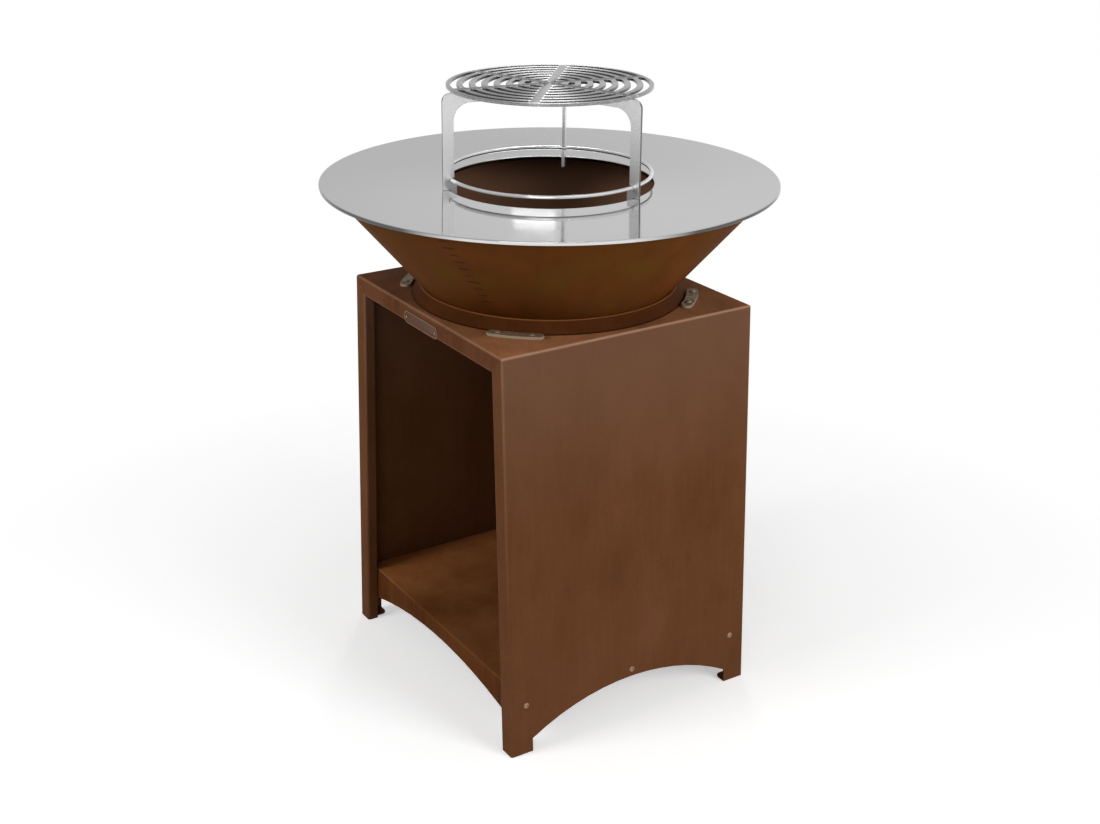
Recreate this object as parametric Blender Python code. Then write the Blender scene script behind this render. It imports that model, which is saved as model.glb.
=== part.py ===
"""Barbecue grill: a fire bowl under a broad hotplate with a trivet, on an open cabinet of folded sheet.

Metres, +Z up. The origin is on the floor under the middle of the bowl, and the open front faces -Y.
"""

import math

import bmesh
import bpy
from mathutils import Matrix, Vector

# Space left between pieces that touch, and how far a facet may stray from its true curve
GAP = 0.0003
CURVE_TOLERANCE = 0.0003

# Cabinet, folded from sheet. Its sides lean out towards the floor.
SHEET = 0.0025
BEND = 0.004
CABINET_TOP_WIDTH = 0.518
CABINET_DEPTH = 0.509
CABINET_HEIGHT = 0.727
CABINET_FLARE = 0.0315
FRAME_WIDTH = 0.033
FRAME_RETURN = 0.020
REAR_FLANGE = 0.025
FOOT_LENGTH = 0.044
FOOT_HEIGHT = 0.025
FOOT_TAB = 0.026
FOOT_TAB_ROUNDING = 0.010
FOOT_TAB_RELIEF = 0.001
SIDE_ARCH_HEIGHT = 0.080

# Shelf, a tray folded down all round, whose front edge is the arched apron
SHELF_HEIGHT = 0.1105
SHELF_FLANGE = 0.030
SHELF_FRAME_GAP = 0.002
APRON_ARCH_HEIGHT = 0.082
APRON_END_HEIGHT = 0.046

# Rivets that hold the shelf between the side panels
RIVET_DROP = 0.017
RIVET_END_INSET = 0.032
RIVETS_PER_SIDE = 3
RIVET_HOLE_RADIUS = 0.0027
RIVET_SHANK_RADIUS = 0.0024
RIVET_HEAD_RADIUS = 0.0052
RIVET_HEAD_HEIGHT = 0.0018
RIVET_HOLLOW_RADIUS = 0.0016
RIVET_TAIL_RADIUS = 0.0034
RIVET_TAIL_LENGTH = 0.003

# Support ring that the bowl stands in, and the arc brackets that keep it in place
SUPPORT_FOOT_RADIUS = 0.244
SUPPORT_TOP_RADIUS = 0.230
SUPPORT_HEIGHT = 0.022
SUPPORT_WALL = 0.003
BRACKET_CLEARANCE = 0.003
BRACKET_WIDTH = 0.020
BRACKET_LENGTH = 0.098
BRACKET_THICKNESS = 0.005
BRACKET_HOLE_RADIUS = 0.0031
BRACKET_HOLE_SPACING = 0.059
FIRST_BRACKET_ANGLE = math.radians(45)
BRACKETS = 4
SCREW_RADIUS = 0.0027
SCREW_HEAD_RADIUS = 0.0052
SCREW_HEAD_HEIGHT = 0.0028
SCREW_END = 0.006

# Fire bowl, a cone of sheet that hangs in the support ring
BOWL_WALL = 0.003
BOWL_FLOOR_CLEARANCE = 0.005

# Hotplate, which slopes in to its hole a little and reaches out past the bowl's rim
PLATE_RADIUS = 0.400
PLATE_OVERHANG = 0.021
PLATE_THICKNESS = 0.006
PLATE_HOLE_RADIUS = 0.1835
PLATE_DISH = 0.007
PLATE_RISE = 0.2064
PLATE_EDGE = 0.001

# Trivet: a locating ring of rod, three flat legs and the grate on top of them
ROD_RADIUS = 0.00325
TRIVET_RING_CLEARANCE = 0.00125
TRIVET_RING_RISE = 0.0177
LEG_THICKNESS = 0.005
LEG_FOOT_REACH = 0.0105
LEG_WIDTH = 0.020
LEG_CORNER = 0.015
LEG_FILLET = 0.030
ARM_DEPTH = 0.018
ARM_REACH = 0.094
ARM_END_ROUNDING = 0.006
TAB_WIDTH = 0.012
TAB_DEPTH = 0.017
TAB_CLEARANCE = 0.002
TAB_ROUNDING = 0.002
LEGS = 3
FIRST_LEG_ANGLE = math.radians(18.5)

# Grate, cut from plate in rows of curved slots between radial webs
GRATE_RADIUS = 0.178
GRATE_THICKNESS = 0.005
GRATE_RISE = 0.1721
GRATE_RIM = 0.0077
SLOT_WIDTH = 0.0106
SLOT_PITCH = 0.0212
WEB_WIDTH = 0.015
WEBS = 6
GRATE_CENTRE_RADIUS = 0.030
CENTRE_HOLE_RADIUS = 0.0026
CENTRE_HOLE_CIRCLE = 0.0172

# How many sides the turned pieces have
PLATE_SEGMENTS = 96
BOWL_SEGMENTS = 72
RING_SEGMENTS = 64
ROD_SEGMENTS = 8
FASTENER_SEGMENTS = 10

# Values that follow from the ones above
HALF_DEPTH = CABINET_DEPTH / 2
TOP_HALF_WIDTH = CABINET_TOP_WIDTH / 2
LEAN = math.atan2(CABINET_FLARE, CABINET_HEIGHT)
RIM_TOP = CABINET_HEIGHT + PLATE_RISE
BRACKET_INNER_RADIUS = SUPPORT_FOOT_RADIUS + BRACKET_CLEARANCE
BRACKET_MIDDLE_RADIUS = BRACKET_INNER_RADIUS + BRACKET_WIDTH / 2
BOWL_RIM_RADIUS = PLATE_RADIUS - PLATE_OVERHANG
TRIVET_RING_RADIUS = PLATE_HOLE_RADIUS - TRIVET_RING_CLEARANCE - ROD_RADIUS
LEG_OUTER_RADIUS = PLATE_HOLE_RADIUS + LEG_FOOT_REACH


def material(name, hex_colour, roughness, metallic):
    """A plain finish in a colour given as sRGB hex."""
    channels = [int(hex_colour[i : i + 2], 16) / 255 for i in (1, 3, 5)]
    linear = [c / 12.92 if c <= 0.04045 else ((c + 0.055) / 1.055) ** 2.4 for c in channels]
    made = bpy.data.materials.new(name)
    made.use_nodes = True
    shader = made.node_tree.nodes["Principled BSDF"]
    shader.inputs["Base Color"].default_value = (*linear, 1)
    shader.inputs["Roughness"].default_value = roughness
    shader.inputs["Metallic"].default_value = metallic
    made.diffuse_color = (*linear, 1)
    return made


def add_object(name, bm, finish, parent=None):
    """Closes the bmesh into a named object whose origin is its parent's, on that body's axis."""
    bmesh.ops.remove_doubles(bm, verts=bm.verts, dist=1e-6)
    bmesh.ops.dissolve_degenerate(bm, edges=bm.edges, dist=1e-6)
    bmesh.ops.recalc_face_normals(bm, faces=bm.faces)
    origin = parent.matrix_world.translation if parent else Vector()
    bmesh.ops.translate(bm, verts=bm.verts, vec=-origin)
    mesh = bpy.data.meshes.new(name)
    bm.to_mesh(mesh)
    bm.free()
    mesh.materials.append(finish)
    made = bpy.data.objects.new(name, mesh)
    bpy.context.scene.collection.objects.link(made)
    made.parent = parent
    return made


def add_axis(name, height, parent=None):
    """An empty on the bowl's upright axis, which carries one loose group of pieces."""
    made = bpy.data.objects.new(name, None)
    bpy.context.scene.collection.objects.link(made)
    made.parent = parent
    made.location.z = height - (parent.matrix_world.translation.z if parent else 0)
    bpy.context.view_layer.update()
    return made


def as_cutter(made):
    """Turns an object into a hidden tool for a Boolean."""
    made.hide_render = True
    made.display_type = "WIRE"
    return made


def boolean(target, tool, operation="DIFFERENCE"):
    modifier = target.modifiers.new(operation.title(), "BOOLEAN")
    modifier.operation = operation
    modifier.solver = "EXACT"
    modifier.object = tool


def smooth(made, angle=30):
    made.data.shade_smooth()
    made.data.set_sharp_from_angle(angle=math.radians(angle))


def arc(centre, radius, start, sweep):
    """Points on an arc, ends included, in as many steps as the tolerance asks for."""
    step = 2 * math.acos(max(0.0, 1 - CURVE_TOLERANCE / radius))
    steps = max(3, math.ceil(abs(sweep) / step))
    angles = [start + sweep * i / steps for i in range(steps + 1)]
    return [(centre[0] + radius * math.cos(a), centre[1] + radius * math.sin(a)) for a in angles]


def circle(centre, radius):
    return arc(centre, radius, 0, 2 * math.pi)[:-1]


def rounded(corners):
    """A closed outline from (x, y, radius) corners, each rounded by its radius where it has one."""
    outline = []
    for i, (x, y, radius) in enumerate(corners):
        corner = Vector((x, y))
        if not radius:
            outline.append((x, y))
            continue
        before = (Vector(corners[i - 1][:2]) - corner).normalized()
        after = (Vector(corners[(i + 1) % len(corners)][:2]) - corner).normalized()
        half = before.angle(after) / 2
        centre = corner + (before + after).normalized() * radius / math.sin(half)
        first = corner + before * radius / math.tan(half) - centre
        last = corner + after * radius / math.tan(half) - centre
        sweep = first.angle_signed(last)
        outline += arc(centre, radius, math.atan2(first.y, first.x), -sweep)
    return outline


def plate_mesh(loops, thickness, placement):
    """A flat plate of the given thickness, filled inside its first loop and open inside the others."""
    drawing = bpy.data.curves.new("drawing", "CURVE")
    drawing.dimensions = "2D"
    drawing.fill_mode = "BOTH"
    drawing.extrude = thickness / 2
    for loop in loops:
        spline = drawing.splines.new("POLY")
        spline.points.add(len(loop) - 1)
        for point, (x, y) in zip(spline.points, loop):
            point.co = (x, y, 0, 1)
        spline.use_cyclic_u = True
    holder = bpy.data.objects.new("drawing", drawing)
    mesh = bpy.data.meshes.new_from_object(holder)
    bm = bmesh.new()
    bm.from_mesh(mesh)
    bm.transform(placement)
    bpy.data.objects.remove(holder)
    bpy.data.curves.remove(drawing)
    bpy.data.meshes.remove(mesh)
    return bm


def frame_of(across, up, middle=(0, 0, 0)):
    """A placement whose local x runs along across and local y along up."""
    across, up = Vector(across).normalized(), Vector(up).normalized()
    turned = Matrix((across, up, across.cross(up))).transposed()
    return Matrix.Translation(middle) @ turned.to_4x4()


def turned_mesh(profile, segments, closed, placement=Matrix.Identity(4)):
    """Spins (radius, height) points about the upright axis, then places the result."""
    bm = bmesh.new()
    verts = [bm.verts.new((r, 0, z)) for r, z in profile]
    pairs = list(zip(verts, verts[1:]))
    if closed:
        pairs.append((verts[-1], verts[0]))
    edges = [bm.edges.new(pair) for pair in pairs]
    bmesh.ops.spin(
        bm,
        geom=verts + edges,
        cent=(0, 0, 0),
        axis=(0, 0, 1),
        angle=2 * math.pi,
        steps=segments,
        use_merge=True,
    )
    bm.transform(placement)
    return bm


def loft_mesh(rings):
    """Skins rings of matching points and closes both ends."""
    bm = bmesh.new()
    rows = [[bm.verts.new(point) for point in ring] for ring in rings]
    count = len(rows[0])
    for low, high in zip(rows, rows[1:]):
        for i in range(count):
            j = (i + 1) % count
            bm.faces.new((low[i], low[j], high[j], high[i]))
    caps = [bm.faces.new(rows[0]), bm.faces.new(rows[-1])]
    bmesh.ops.remove_doubles(bm, verts=bm.verts, dist=1e-6)
    bmesh.ops.triangulate(bm, faces=[cap for cap in caps if cap.is_valid])
    return bm


def folded_outline(corners):
    """The closed outline of a folded sheet whose outer side follows corners that all turn left."""
    points = [Vector(corner) for corner in corners]
    outer, inner = [points[0]], []
    left = (points[1] - points[0]).normalized().orthogonal()
    inner.append(points[0] + left * SHEET)
    for before, corner, after in zip(points, points[1:], points[2:]):
        ahead = (corner - before).normalized()
        left, next_left = ahead.orthogonal(), (after - corner).normalized().orthogonal()
        centre = corner + (left + next_left) * BEND
        start = math.atan2(-left.y, -left.x)
        outer += [Vector(p) for p in arc(centre, BEND, start, math.pi / 2)]
        inner += [Vector(p) for p in arc(centre, BEND - SHEET, start, math.pi / 2)]
    outer.append(points[-1])
    inner.append(points[-1] + next_left * SHEET)
    return outer + inner[::-1]


def frame_profile():
    """(y, depth) outline shared by the side and top panels: return, front frame, face, rear flange."""
    return folded_outline(
        [
            (-HALF_DEPTH + FRAME_RETURN, FRAME_WIDTH),
            (-HALF_DEPTH, FRAME_WIDTH),
            (-HALF_DEPTH, 0),
            (HALF_DEPTH, 0),
            (HALF_DEPTH, REAR_FLANGE),
        ]
    )


def half_width(height):
    """Half the cabinet's width over its sides, which lean out towards the floor."""
    return TOP_HALF_WIDTH + CABINET_FLARE * (1 - height / CABINET_HEIGHT)


def around_top_edge(depth, angle):
    """(inset, drop) of a point that deep in the sheet, where the fold over the top edge has turned so far."""
    if depth >= BEND:
        return depth, depth
    radius = BEND - depth
    return BEND - radius * math.cos(angle), BEND - radius * math.sin(angle)


def arch_outline(half_span, end_height, crown, below):
    """The opening under an arch: upright sides up to end_height, then an arc up to the crown."""
    rise = crown - end_height
    radius = (half_span**2 + rise**2) / (2 * rise)
    half_angle = math.asin(half_span / radius)
    top = arc((0, crown - radius), radius, math.pi / 2 - half_angle, 2 * half_angle)
    return [(-half_span, -below), (half_span, -below)] + top


def apron_half_span():
    """Half the span of the front and rear arches, which end behind the front stiles."""
    return half_width(APRON_END_HEIGHT) - FRAME_WIDTH


def rivet_places():
    """(y, height) of each rivet along a side panel."""
    reach = HALF_DEPTH - RIVET_END_INSET
    step = 2 * reach / (RIVETS_PER_SIDE - 1)
    height = SHELF_HEIGHT - RIVET_DROP
    return [(-reach + step * i, height) for i in range(RIVETS_PER_SIDE)]


def rivet_frame(side, y, height):
    """A placement on a side panel's outer face, with local z along the face's outward normal."""
    outward = Vector((side * math.cos(LEAN), 0, math.sin(LEAN)))
    place = Vector((side * half_width(height), y, height))
    return frame_of((0, side, 0), outward.cross(Vector((0, side, 0))), place)


def add_rivet_hole_tool(side):
    """The drill for every rivet hole through one side panel and the shelf's flange behind it."""
    reach = 6 * SHEET
    profile = [(0, -reach), (RIVET_HOLE_RADIUS, -reach), (RIVET_HOLE_RADIUS, reach), (0, reach)]
    bm = bmesh.new()
    for y, height in rivet_places():
        hole = turned_mesh(profile, FASTENER_SEGMENTS, False, rivet_frame(side, y, height))
        mesh = bpy.data.meshes.new("hole")
        hole.to_mesh(mesh)
        hole.free()
        bm.from_mesh(mesh)
        bpy.data.meshes.remove(mesh)
    return as_cutter(add_object("rivet_hole_tool", bm, FINISHES["rust"]))


def add_side_panel(name, side, hole_tool):
    """One side: face, front stile with its return, rear flange, arched lower edge and two feet."""
    profile = frame_profile()

    def place(y, inset, height):
        return (side * (half_width(height) - inset), y, height)

    rings = [[place(y, depth, 0) for y, depth in profile]]
    for angle in (0, math.pi / 8, math.pi / 4):
        ring = []
        for y, depth in profile:
            inset, drop = around_top_edge(depth, angle)
            if angle == math.pi / 4 or depth >= BEND:
                drop += GAP / 2
            ring.append(place(y, inset, CABINET_HEIGHT - drop))
        rings.append(ring)
    panel = add_object(name, loft_mesh(rings), FINISHES["rust"])
    opening = arch_outline(HALF_DEPTH - FOOT_LENGTH, FOOT_HEIGHT, SIDE_ARCH_HEIGHT, FOOT_HEIGHT)
    middle = (side * half_width(0), 0, 0)
    arch = plate_mesh([opening], 4 * CABINET_FLARE, frame_of((0, 1, 0), (0, 0, 1), middle))
    boolean(panel, as_cutter(add_object(name + "_arch_tool", arch, FINISHES["rust"])))
    for end in (-1, 1):
        boolean(panel, add_foot_tab_tool(name, side, end), "UNION")
    boolean(panel, hole_tool)
    smooth(panel)
    return panel


def add_foot_tab_tool(name, side, end):
    """The tab that folds in under a foot, with its free corner rounded."""
    near, far = HALF_DEPTH - FOOT_LENGTH, HALF_DEPTH - BEND - FOOT_TAB_RELIEF
    root, tip = half_width(0) - SHEET / 2, half_width(0) - FOOT_TAB
    corners = [
        (side * root, end * far, 0),
        (side * tip, end * far, 0),
        (side * tip, end * near, FOOT_TAB_ROUNDING),
        (side * root, end * near, 0),
    ]
    bm = plate_mesh([rounded(corners)], SHEET, Matrix.Translation((0, 0, SHEET / 2)))
    return as_cutter(add_object(f"{name}_tab_tool", bm, FINISHES["rust"]))


def add_top_panel(screw_tool):
    """The cabinet's top with the front rail and its return, mitred to the side panels."""
    profile = frame_profile()

    def ring(side, angle):
        points = []
        for y, depth in profile:
            inset, drop = around_top_edge(depth, angle)
            if angle == math.pi / 4 or depth >= BEND:
                inset += GAP / 2
            height = CABINET_HEIGHT - drop
            points.append((side * (half_width(height) - inset), y, height))
        return points

    angles = (math.pi / 4, 3 * math.pi / 8, math.pi / 2)
    rings = [ring(-1, angle) for angle in angles] + [ring(1, angle) for angle in angles[::-1]]
    panel = add_object("top_panel", loft_mesh(rings), FINISHES["rust"])
    boolean(panel, screw_tool)
    smooth(panel)
    return panel


def add_back_panel():
    """A flat sheet inside the rear flanges, clear of their bends, with an arched lower edge."""
    top, low = CABINET_HEIGHT - BEND, APRON_END_HEIGHT
    top_edge, low_edge = half_width(top) - BEND, half_width(low) - BEND
    corners = [(top_edge, top), (-top_edge, top), (-low_edge, low), (low_edge, low)]
    arch = arch_outline(apron_half_span(), low, APRON_ARCH_HEIGHT, 0)[2:]
    outline = corners[:3] + arch[::-1] + corners[3:]
    middle = (0, HALF_DEPTH - 1.5 * SHEET - GAP, 0)
    bm = plate_mesh([outline], SHEET, frame_of((1, 0, 0), (0, 0, 1), middle))
    return add_object("back_panel", bm, FINISHES["rust"])


def tray_mesh(inset, top, bend, bottom):
    """A block with the shelf's outline, moved in by inset, whose top edges are bent over."""
    front = -HALF_DEPTH + FRAME_RETURN + SHELF_FRAME_GAP + inset
    back = HALF_DEPTH - 2 * SHEET - 2 * GAP - inset

    def ring(height, pull):
        x = half_width(height) - SHEET - GAP - inset - pull
        ends = (front + pull, back - pull)
        return [(-x, ends[0], height), (x, ends[0], height), (x, ends[1], height), (-x, ends[1], height)]

    rings = [ring(bottom, 0)]
    for angle in (0, math.pi / 8, math.pi / 4, 3 * math.pi / 8, math.pi / 2):
        rings.append(ring(top - bend + bend * math.sin(angle), bend - bend * math.cos(angle)))
    return loft_mesh(rings)


def add_shelf(hole_tools):
    """The shelf: a tray with down-turned flanges and the deeper, arched apron in front."""
    shelf = add_object("shelf", tray_mesh(0, SHELF_HEIGHT, BEND, APRON_END_HEIGHT), FINISHES["rust"])
    inside = tray_mesh(SHEET, SHELF_HEIGHT - SHEET, BEND - SHEET, 0)
    boolean(shelf, as_cutter(add_object("shelf_inside_tool", inside, FINISHES["rust"])))
    flange_low = SHELF_HEIGHT - SHELF_FLANGE
    behind_apron = -HALF_DEPTH + FRAME_RETURN + SHELF_FRAME_GAP + 1.5 * SHEET
    block = [
        (-CABINET_TOP_WIDTH, behind_apron),
        (CABINET_TOP_WIDTH, behind_apron),
        (CABINET_TOP_WIDTH, CABINET_DEPTH),
        (-CABINET_TOP_WIDTH, CABINET_DEPTH),
    ]
    trim = plate_mesh([block], flange_low, Matrix.Translation((0, 0, flange_low / 2)))
    boolean(shelf, as_cutter(add_object("shelf_flange_tool", trim, FINISHES["rust"])))
    opening = arch_outline(apron_half_span(), APRON_END_HEIGHT, APRON_ARCH_HEIGHT, 0)
    middle = (0, -HALF_DEPTH + FRAME_RETURN, 0)
    arch = plate_mesh([opening], 8 * SHEET, frame_of((1, 0, 0), (0, 0, 1), middle))
    boolean(shelf, as_cutter(add_object("apron_arch_tool", arch, FINISHES["rust"])))
    for tool in hole_tools:
        boolean(shelf, tool)
    smooth(shelf)
    return shelf


def add_rivets():
    """Blind rivets with a hollow head outside and a set tail behind the shelf's flange."""
    back = -2 * SHEET - 2 * GAP
    profile = [
        (0, GAP + RIVET_HEAD_HEIGHT / 3),
        (RIVET_HOLLOW_RADIUS, GAP + RIVET_HEAD_HEIGHT / 3),
        (RIVET_HOLLOW_RADIUS, GAP + RIVET_HEAD_HEIGHT),
        (RIVET_HEAD_RADIUS * 0.75, GAP + RIVET_HEAD_HEIGHT * 0.7),
        (RIVET_HEAD_RADIUS, GAP),
        (RIVET_SHANK_RADIUS, GAP),
        (RIVET_SHANK_RADIUS, back),
        (RIVET_TAIL_RADIUS, back),
        (RIVET_TAIL_RADIUS, back - RIVET_TAIL_LENGTH),
        (0, back - RIVET_TAIL_LENGTH),
    ]
    for side, word in ((-1, "left"), (1, "right")):
        for i, (y, height) in enumerate(rivet_places(), 1):
            bm = turned_mesh(profile, FASTENER_SEGMENTS, False, rivet_frame(side, y, height))
            smooth(add_object(f"shelf_rivet_{word}_{i}", bm, FINISHES["fastener"]))


def bracket_angles():
    return [FIRST_BRACKET_ANGLE + 2 * math.pi * i / BRACKETS for i in range(BRACKETS)]


def screw_places():
    """(x, y) of each bracket screw, two on each bracket's middle line."""
    half = BRACKET_HOLE_SPACING / 2 / BRACKET_MIDDLE_RADIUS
    angles = [middle + offset for middle in bracket_angles() for offset in (-half, half)]
    return [(BRACKET_MIDDLE_RADIUS * math.cos(a), BRACKET_MIDDLE_RADIUS * math.sin(a)) for a in angles]


def add_screw_hole_tool():
    """The drill for every bracket screw's hole through the cabinet's top."""
    loops = [circle(place, BRACKET_HOLE_RADIUS) for place in screw_places()]
    bm = plate_mesh(loops, 6 * SHEET, Matrix.Translation((0, 0, CABINET_HEIGHT)))
    return as_cutter(add_object("screw_hole_tool", bm, FINISHES["rust"]))


def bracket_outline():
    """An arc-shaped strip about angle zero, with fully rounded ends."""
    round_end = BRACKET_WIDTH / 2
    half = BRACKET_LENGTH / 2 / BRACKET_MIDDLE_RADIUS - math.asin(round_end / BRACKET_MIDDLE_RADIUS)
    ends = [
        (BRACKET_MIDDLE_RADIUS * math.cos(a), BRACKET_MIDDLE_RADIUS * math.sin(a)) for a in (half, -half)
    ]
    outer = arc((0, 0), BRACKET_INNER_RADIUS + BRACKET_WIDTH, -half, 2 * half)
    inner = arc((0, 0), BRACKET_INNER_RADIUS, half, -2 * half)
    far_end = arc(ends[0], round_end, half, math.pi)
    near_end = arc(ends[1], round_end, math.pi - half, math.pi)
    return outer + far_end[1:-1] + inner + near_end[1:-1]


def add_brackets():
    """Four arc brackets that keep the support ring on the cabinet's top, with two screws each."""
    hole_half = BRACKET_HOLE_SPACING / 2 / BRACKET_MIDDLE_RADIUS
    holes = [
        circle(
            (BRACKET_MIDDLE_RADIUS * math.cos(a), BRACKET_MIDDLE_RADIUS * math.sin(a)),
            BRACKET_HOLE_RADIUS,
        )
        for a in (-hole_half, hole_half)
    ]
    lift = CABINET_HEIGHT + GAP + BRACKET_THICKNESS / 2
    for i, angle in enumerate(bracket_angles(), 1):
        placement = Matrix.Translation((0, 0, lift)) @ Matrix.Rotation(angle, 4, "Z")
        bm = plate_mesh([bracket_outline()] + holes, BRACKET_THICKNESS, placement)
        add_object(f"arc_bracket_{i}", bm, FINISHES["bracket"])
    head = CABINET_HEIGHT + BRACKET_THICKNESS + 2 * GAP
    end = CABINET_HEIGHT - SHEET - SCREW_END
    profile = [
        (0, head + SCREW_HEAD_HEIGHT),
        (SCREW_HEAD_RADIUS * 0.6, head + SCREW_HEAD_HEIGHT * 0.85),
        (SCREW_HEAD_RADIUS, head + SCREW_HEAD_HEIGHT * 0.3),
        (SCREW_HEAD_RADIUS, head),
        (SCREW_RADIUS, head),
        (SCREW_RADIUS, end + SCREW_RADIUS / 2),
        (SCREW_RADIUS / 2, end),
        (0, end),
    ]
    for i, (x, y) in enumerate(screw_places(), 1):
        bm = turned_mesh(profile, FASTENER_SEGMENTS, False, Matrix.Translation((x, y, 0)))
        smooth(add_object(f"bracket_screw_{i}", bm, FINISHES["fastener"]))


def add_support_ring(axis):
    """A low conical collar, loose between the brackets, that the bowl stands in."""
    low, high = CABINET_HEIGHT + GAP, CABINET_HEIGHT + GAP + SUPPORT_HEIGHT
    profile = [
        (SUPPORT_FOOT_RADIUS, low),
        (SUPPORT_TOP_RADIUS, high),
        (SUPPORT_TOP_RADIUS - SUPPORT_WALL, high),
        (SUPPORT_FOOT_RADIUS - SUPPORT_WALL, low),
    ]
    smooth(add_object("support_ring", turned_mesh(profile, BOWL_SEGMENTS, True), FINISHES["rust"], axis))


def plate_surface(radius):
    """Height of the hotplate's cooking surface, which slopes in from the rim to the hole."""
    slope = PLATE_DISH / (PLATE_RADIUS - PLATE_HOLE_RADIUS)
    return RIM_TOP - slope * (PLATE_RADIUS - radius)


def add_bowl(axis):
    """The cone passes through the support ring's upper edge and ends in a flat floor."""
    rim = plate_surface(BOWL_RIM_RADIUS) - PLATE_THICKNESS - 2 * GAP
    seat_radius = SUPPORT_TOP_RADIUS - SUPPORT_WALL - GAP
    seat = CABINET_HEIGHT + GAP + SUPPORT_HEIGHT
    floor = CABINET_HEIGHT + BOWL_FLOOR_CLEARANCE
    widening = (BOWL_RIM_RADIUS - seat_radius) / (rim - seat)
    wall = BOWL_WALL * math.hypot(1, widening)
    floor_radius = seat_radius - widening * (seat - floor)
    profile = [
        (0, floor),
        (floor_radius, floor),
        (BOWL_RIM_RADIUS, rim),
        (BOWL_RIM_RADIUS - wall, rim),
        (floor_radius - wall + widening * BOWL_WALL, floor + BOWL_WALL),
        (0, floor + BOWL_WALL),
    ]
    smooth(add_object("fire_bowl", turned_mesh(profile, BOWL_SEGMENTS, False), FINISHES["bowl"], axis))


def add_hotplate(axis):
    top_hole = plate_surface(PLATE_HOLE_RADIUS)
    top_rim = plate_surface(PLATE_RADIUS - PLATE_EDGE)
    profile = [
        (PLATE_HOLE_RADIUS, top_hole),
        (PLATE_RADIUS - PLATE_EDGE, top_rim),
        (PLATE_RADIUS, RIM_TOP - PLATE_EDGE),
        (PLATE_RADIUS, RIM_TOP - PLATE_THICKNESS + PLATE_EDGE),
        (PLATE_RADIUS - PLATE_EDGE, top_rim - PLATE_THICKNESS),
        (PLATE_HOLE_RADIUS, top_hole - PLATE_THICKNESS),
    ]
    smooth(add_object("hotplate", turned_mesh(profile, PLATE_SEGMENTS, True), FINISHES["stainless"], axis))


def add_trivet_ring(axis):
    height = plate_surface(PLATE_HOLE_RADIUS) + TRIVET_RING_RISE
    profile = []
    for i in range(ROD_SEGMENTS):
        turn = 2 * math.pi * i / ROD_SEGMENTS
        radius = TRIVET_RING_RADIUS + ROD_RADIUS * math.cos(turn)
        profile.append((radius, height + ROD_RADIUS * math.sin(turn)))
    bm = turned_mesh(profile, RING_SEGMENTS, True)
    smooth(add_object("trivet_ring", bm, FINISHES["stainless"], axis), 60)


def leg_outline():
    """(radius, height) outline of a leg: foot, outer edge, arm, fillet, ring notch and locating tab."""
    hole_edge = plate_surface(PLATE_HOLE_RADIUS)
    top = hole_edge + GRATE_RISE - GRATE_THICKNESS - GAP
    inner = LEG_OUTER_RADIUS - LEG_WIDTH
    ring = hole_edge + TRIVET_RING_RISE
    notch = TRIVET_RING_RADIUS + ROD_RADIUS + GAP
    notch_half = ROD_RADIUS + GAP
    tab_outer = PLATE_HOLE_RADIUS - TAB_CLEARANCE
    tab_inner = tab_outer - TAB_WIDTH
    arm_tip = LEG_OUTER_RADIUS - ARM_REACH
    return rounded(
        [
            (tab_outer, plate_surface(tab_outer) + GAP, 0),
            (LEG_OUTER_RADIUS, plate_surface(LEG_OUTER_RADIUS) + GAP, 0),
            (LEG_OUTER_RADIUS, top, LEG_CORNER),
            (arm_tip, top, 0),
            (arm_tip, top - ARM_DEPTH, ARM_END_ROUNDING),
            (inner, top - ARM_DEPTH, LEG_FILLET),
            (inner, ring + notch_half, 0),
            (notch, ring + notch_half, 0),
            (notch, ring - notch_half, 0),
            (tab_inner, ring - notch_half, TAB_ROUNDING),
            (tab_inner, hole_edge - TAB_DEPTH, TAB_ROUNDING),
            (tab_outer, hole_edge - TAB_DEPTH, TAB_ROUNDING),
        ]
    )


def add_legs(axis):
    """Three upright blades, each in a plane through the trivet's axis."""
    for i in range(LEGS):
        angle = FIRST_LEG_ANGLE + 2 * math.pi * i / LEGS
        placement = frame_of((math.cos(angle), math.sin(angle), 0), (0, 0, 1))
        bm = plate_mesh([leg_outline()], LEG_THICKNESS, placement)
        add_object(f"trivet_leg_{i + 1}", bm, FINISHES["stainless"], axis)


def slot_outline(radius, middle):
    """A curved slot about the angle middle, which leaves a parallel web's half width at each end."""
    round_end = SLOT_WIDTH / 2
    half = math.pi / WEBS - math.asin((WEB_WIDTH / 2 + round_end) / radius)
    low, high = middle - half, middle + half
    outer = arc((0, 0), radius + round_end, low, 2 * half)
    inner = arc((0, 0), radius - round_end, high, -2 * half)
    far_end = arc((radius * math.cos(high), radius * math.sin(high)), round_end, high, math.pi)
    near_end = arc((radius * math.cos(low), radius * math.sin(low)), round_end, low + math.pi, math.pi)
    return outer + far_end[1:-1] + inner + near_end[1:-1]


def slot_row_radii():
    """Middle radius of each row of slots, from the rim in, as many as fit round the solid centre."""
    outermost = GRATE_RADIUS - GRATE_RIM - SLOT_WIDTH / 2
    room = outermost - SLOT_WIDTH / 2 - GRATE_CENTRE_RADIUS
    return [outermost - SLOT_PITCH * row for row in range(math.floor(room / SLOT_PITCH) + 1)]


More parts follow.
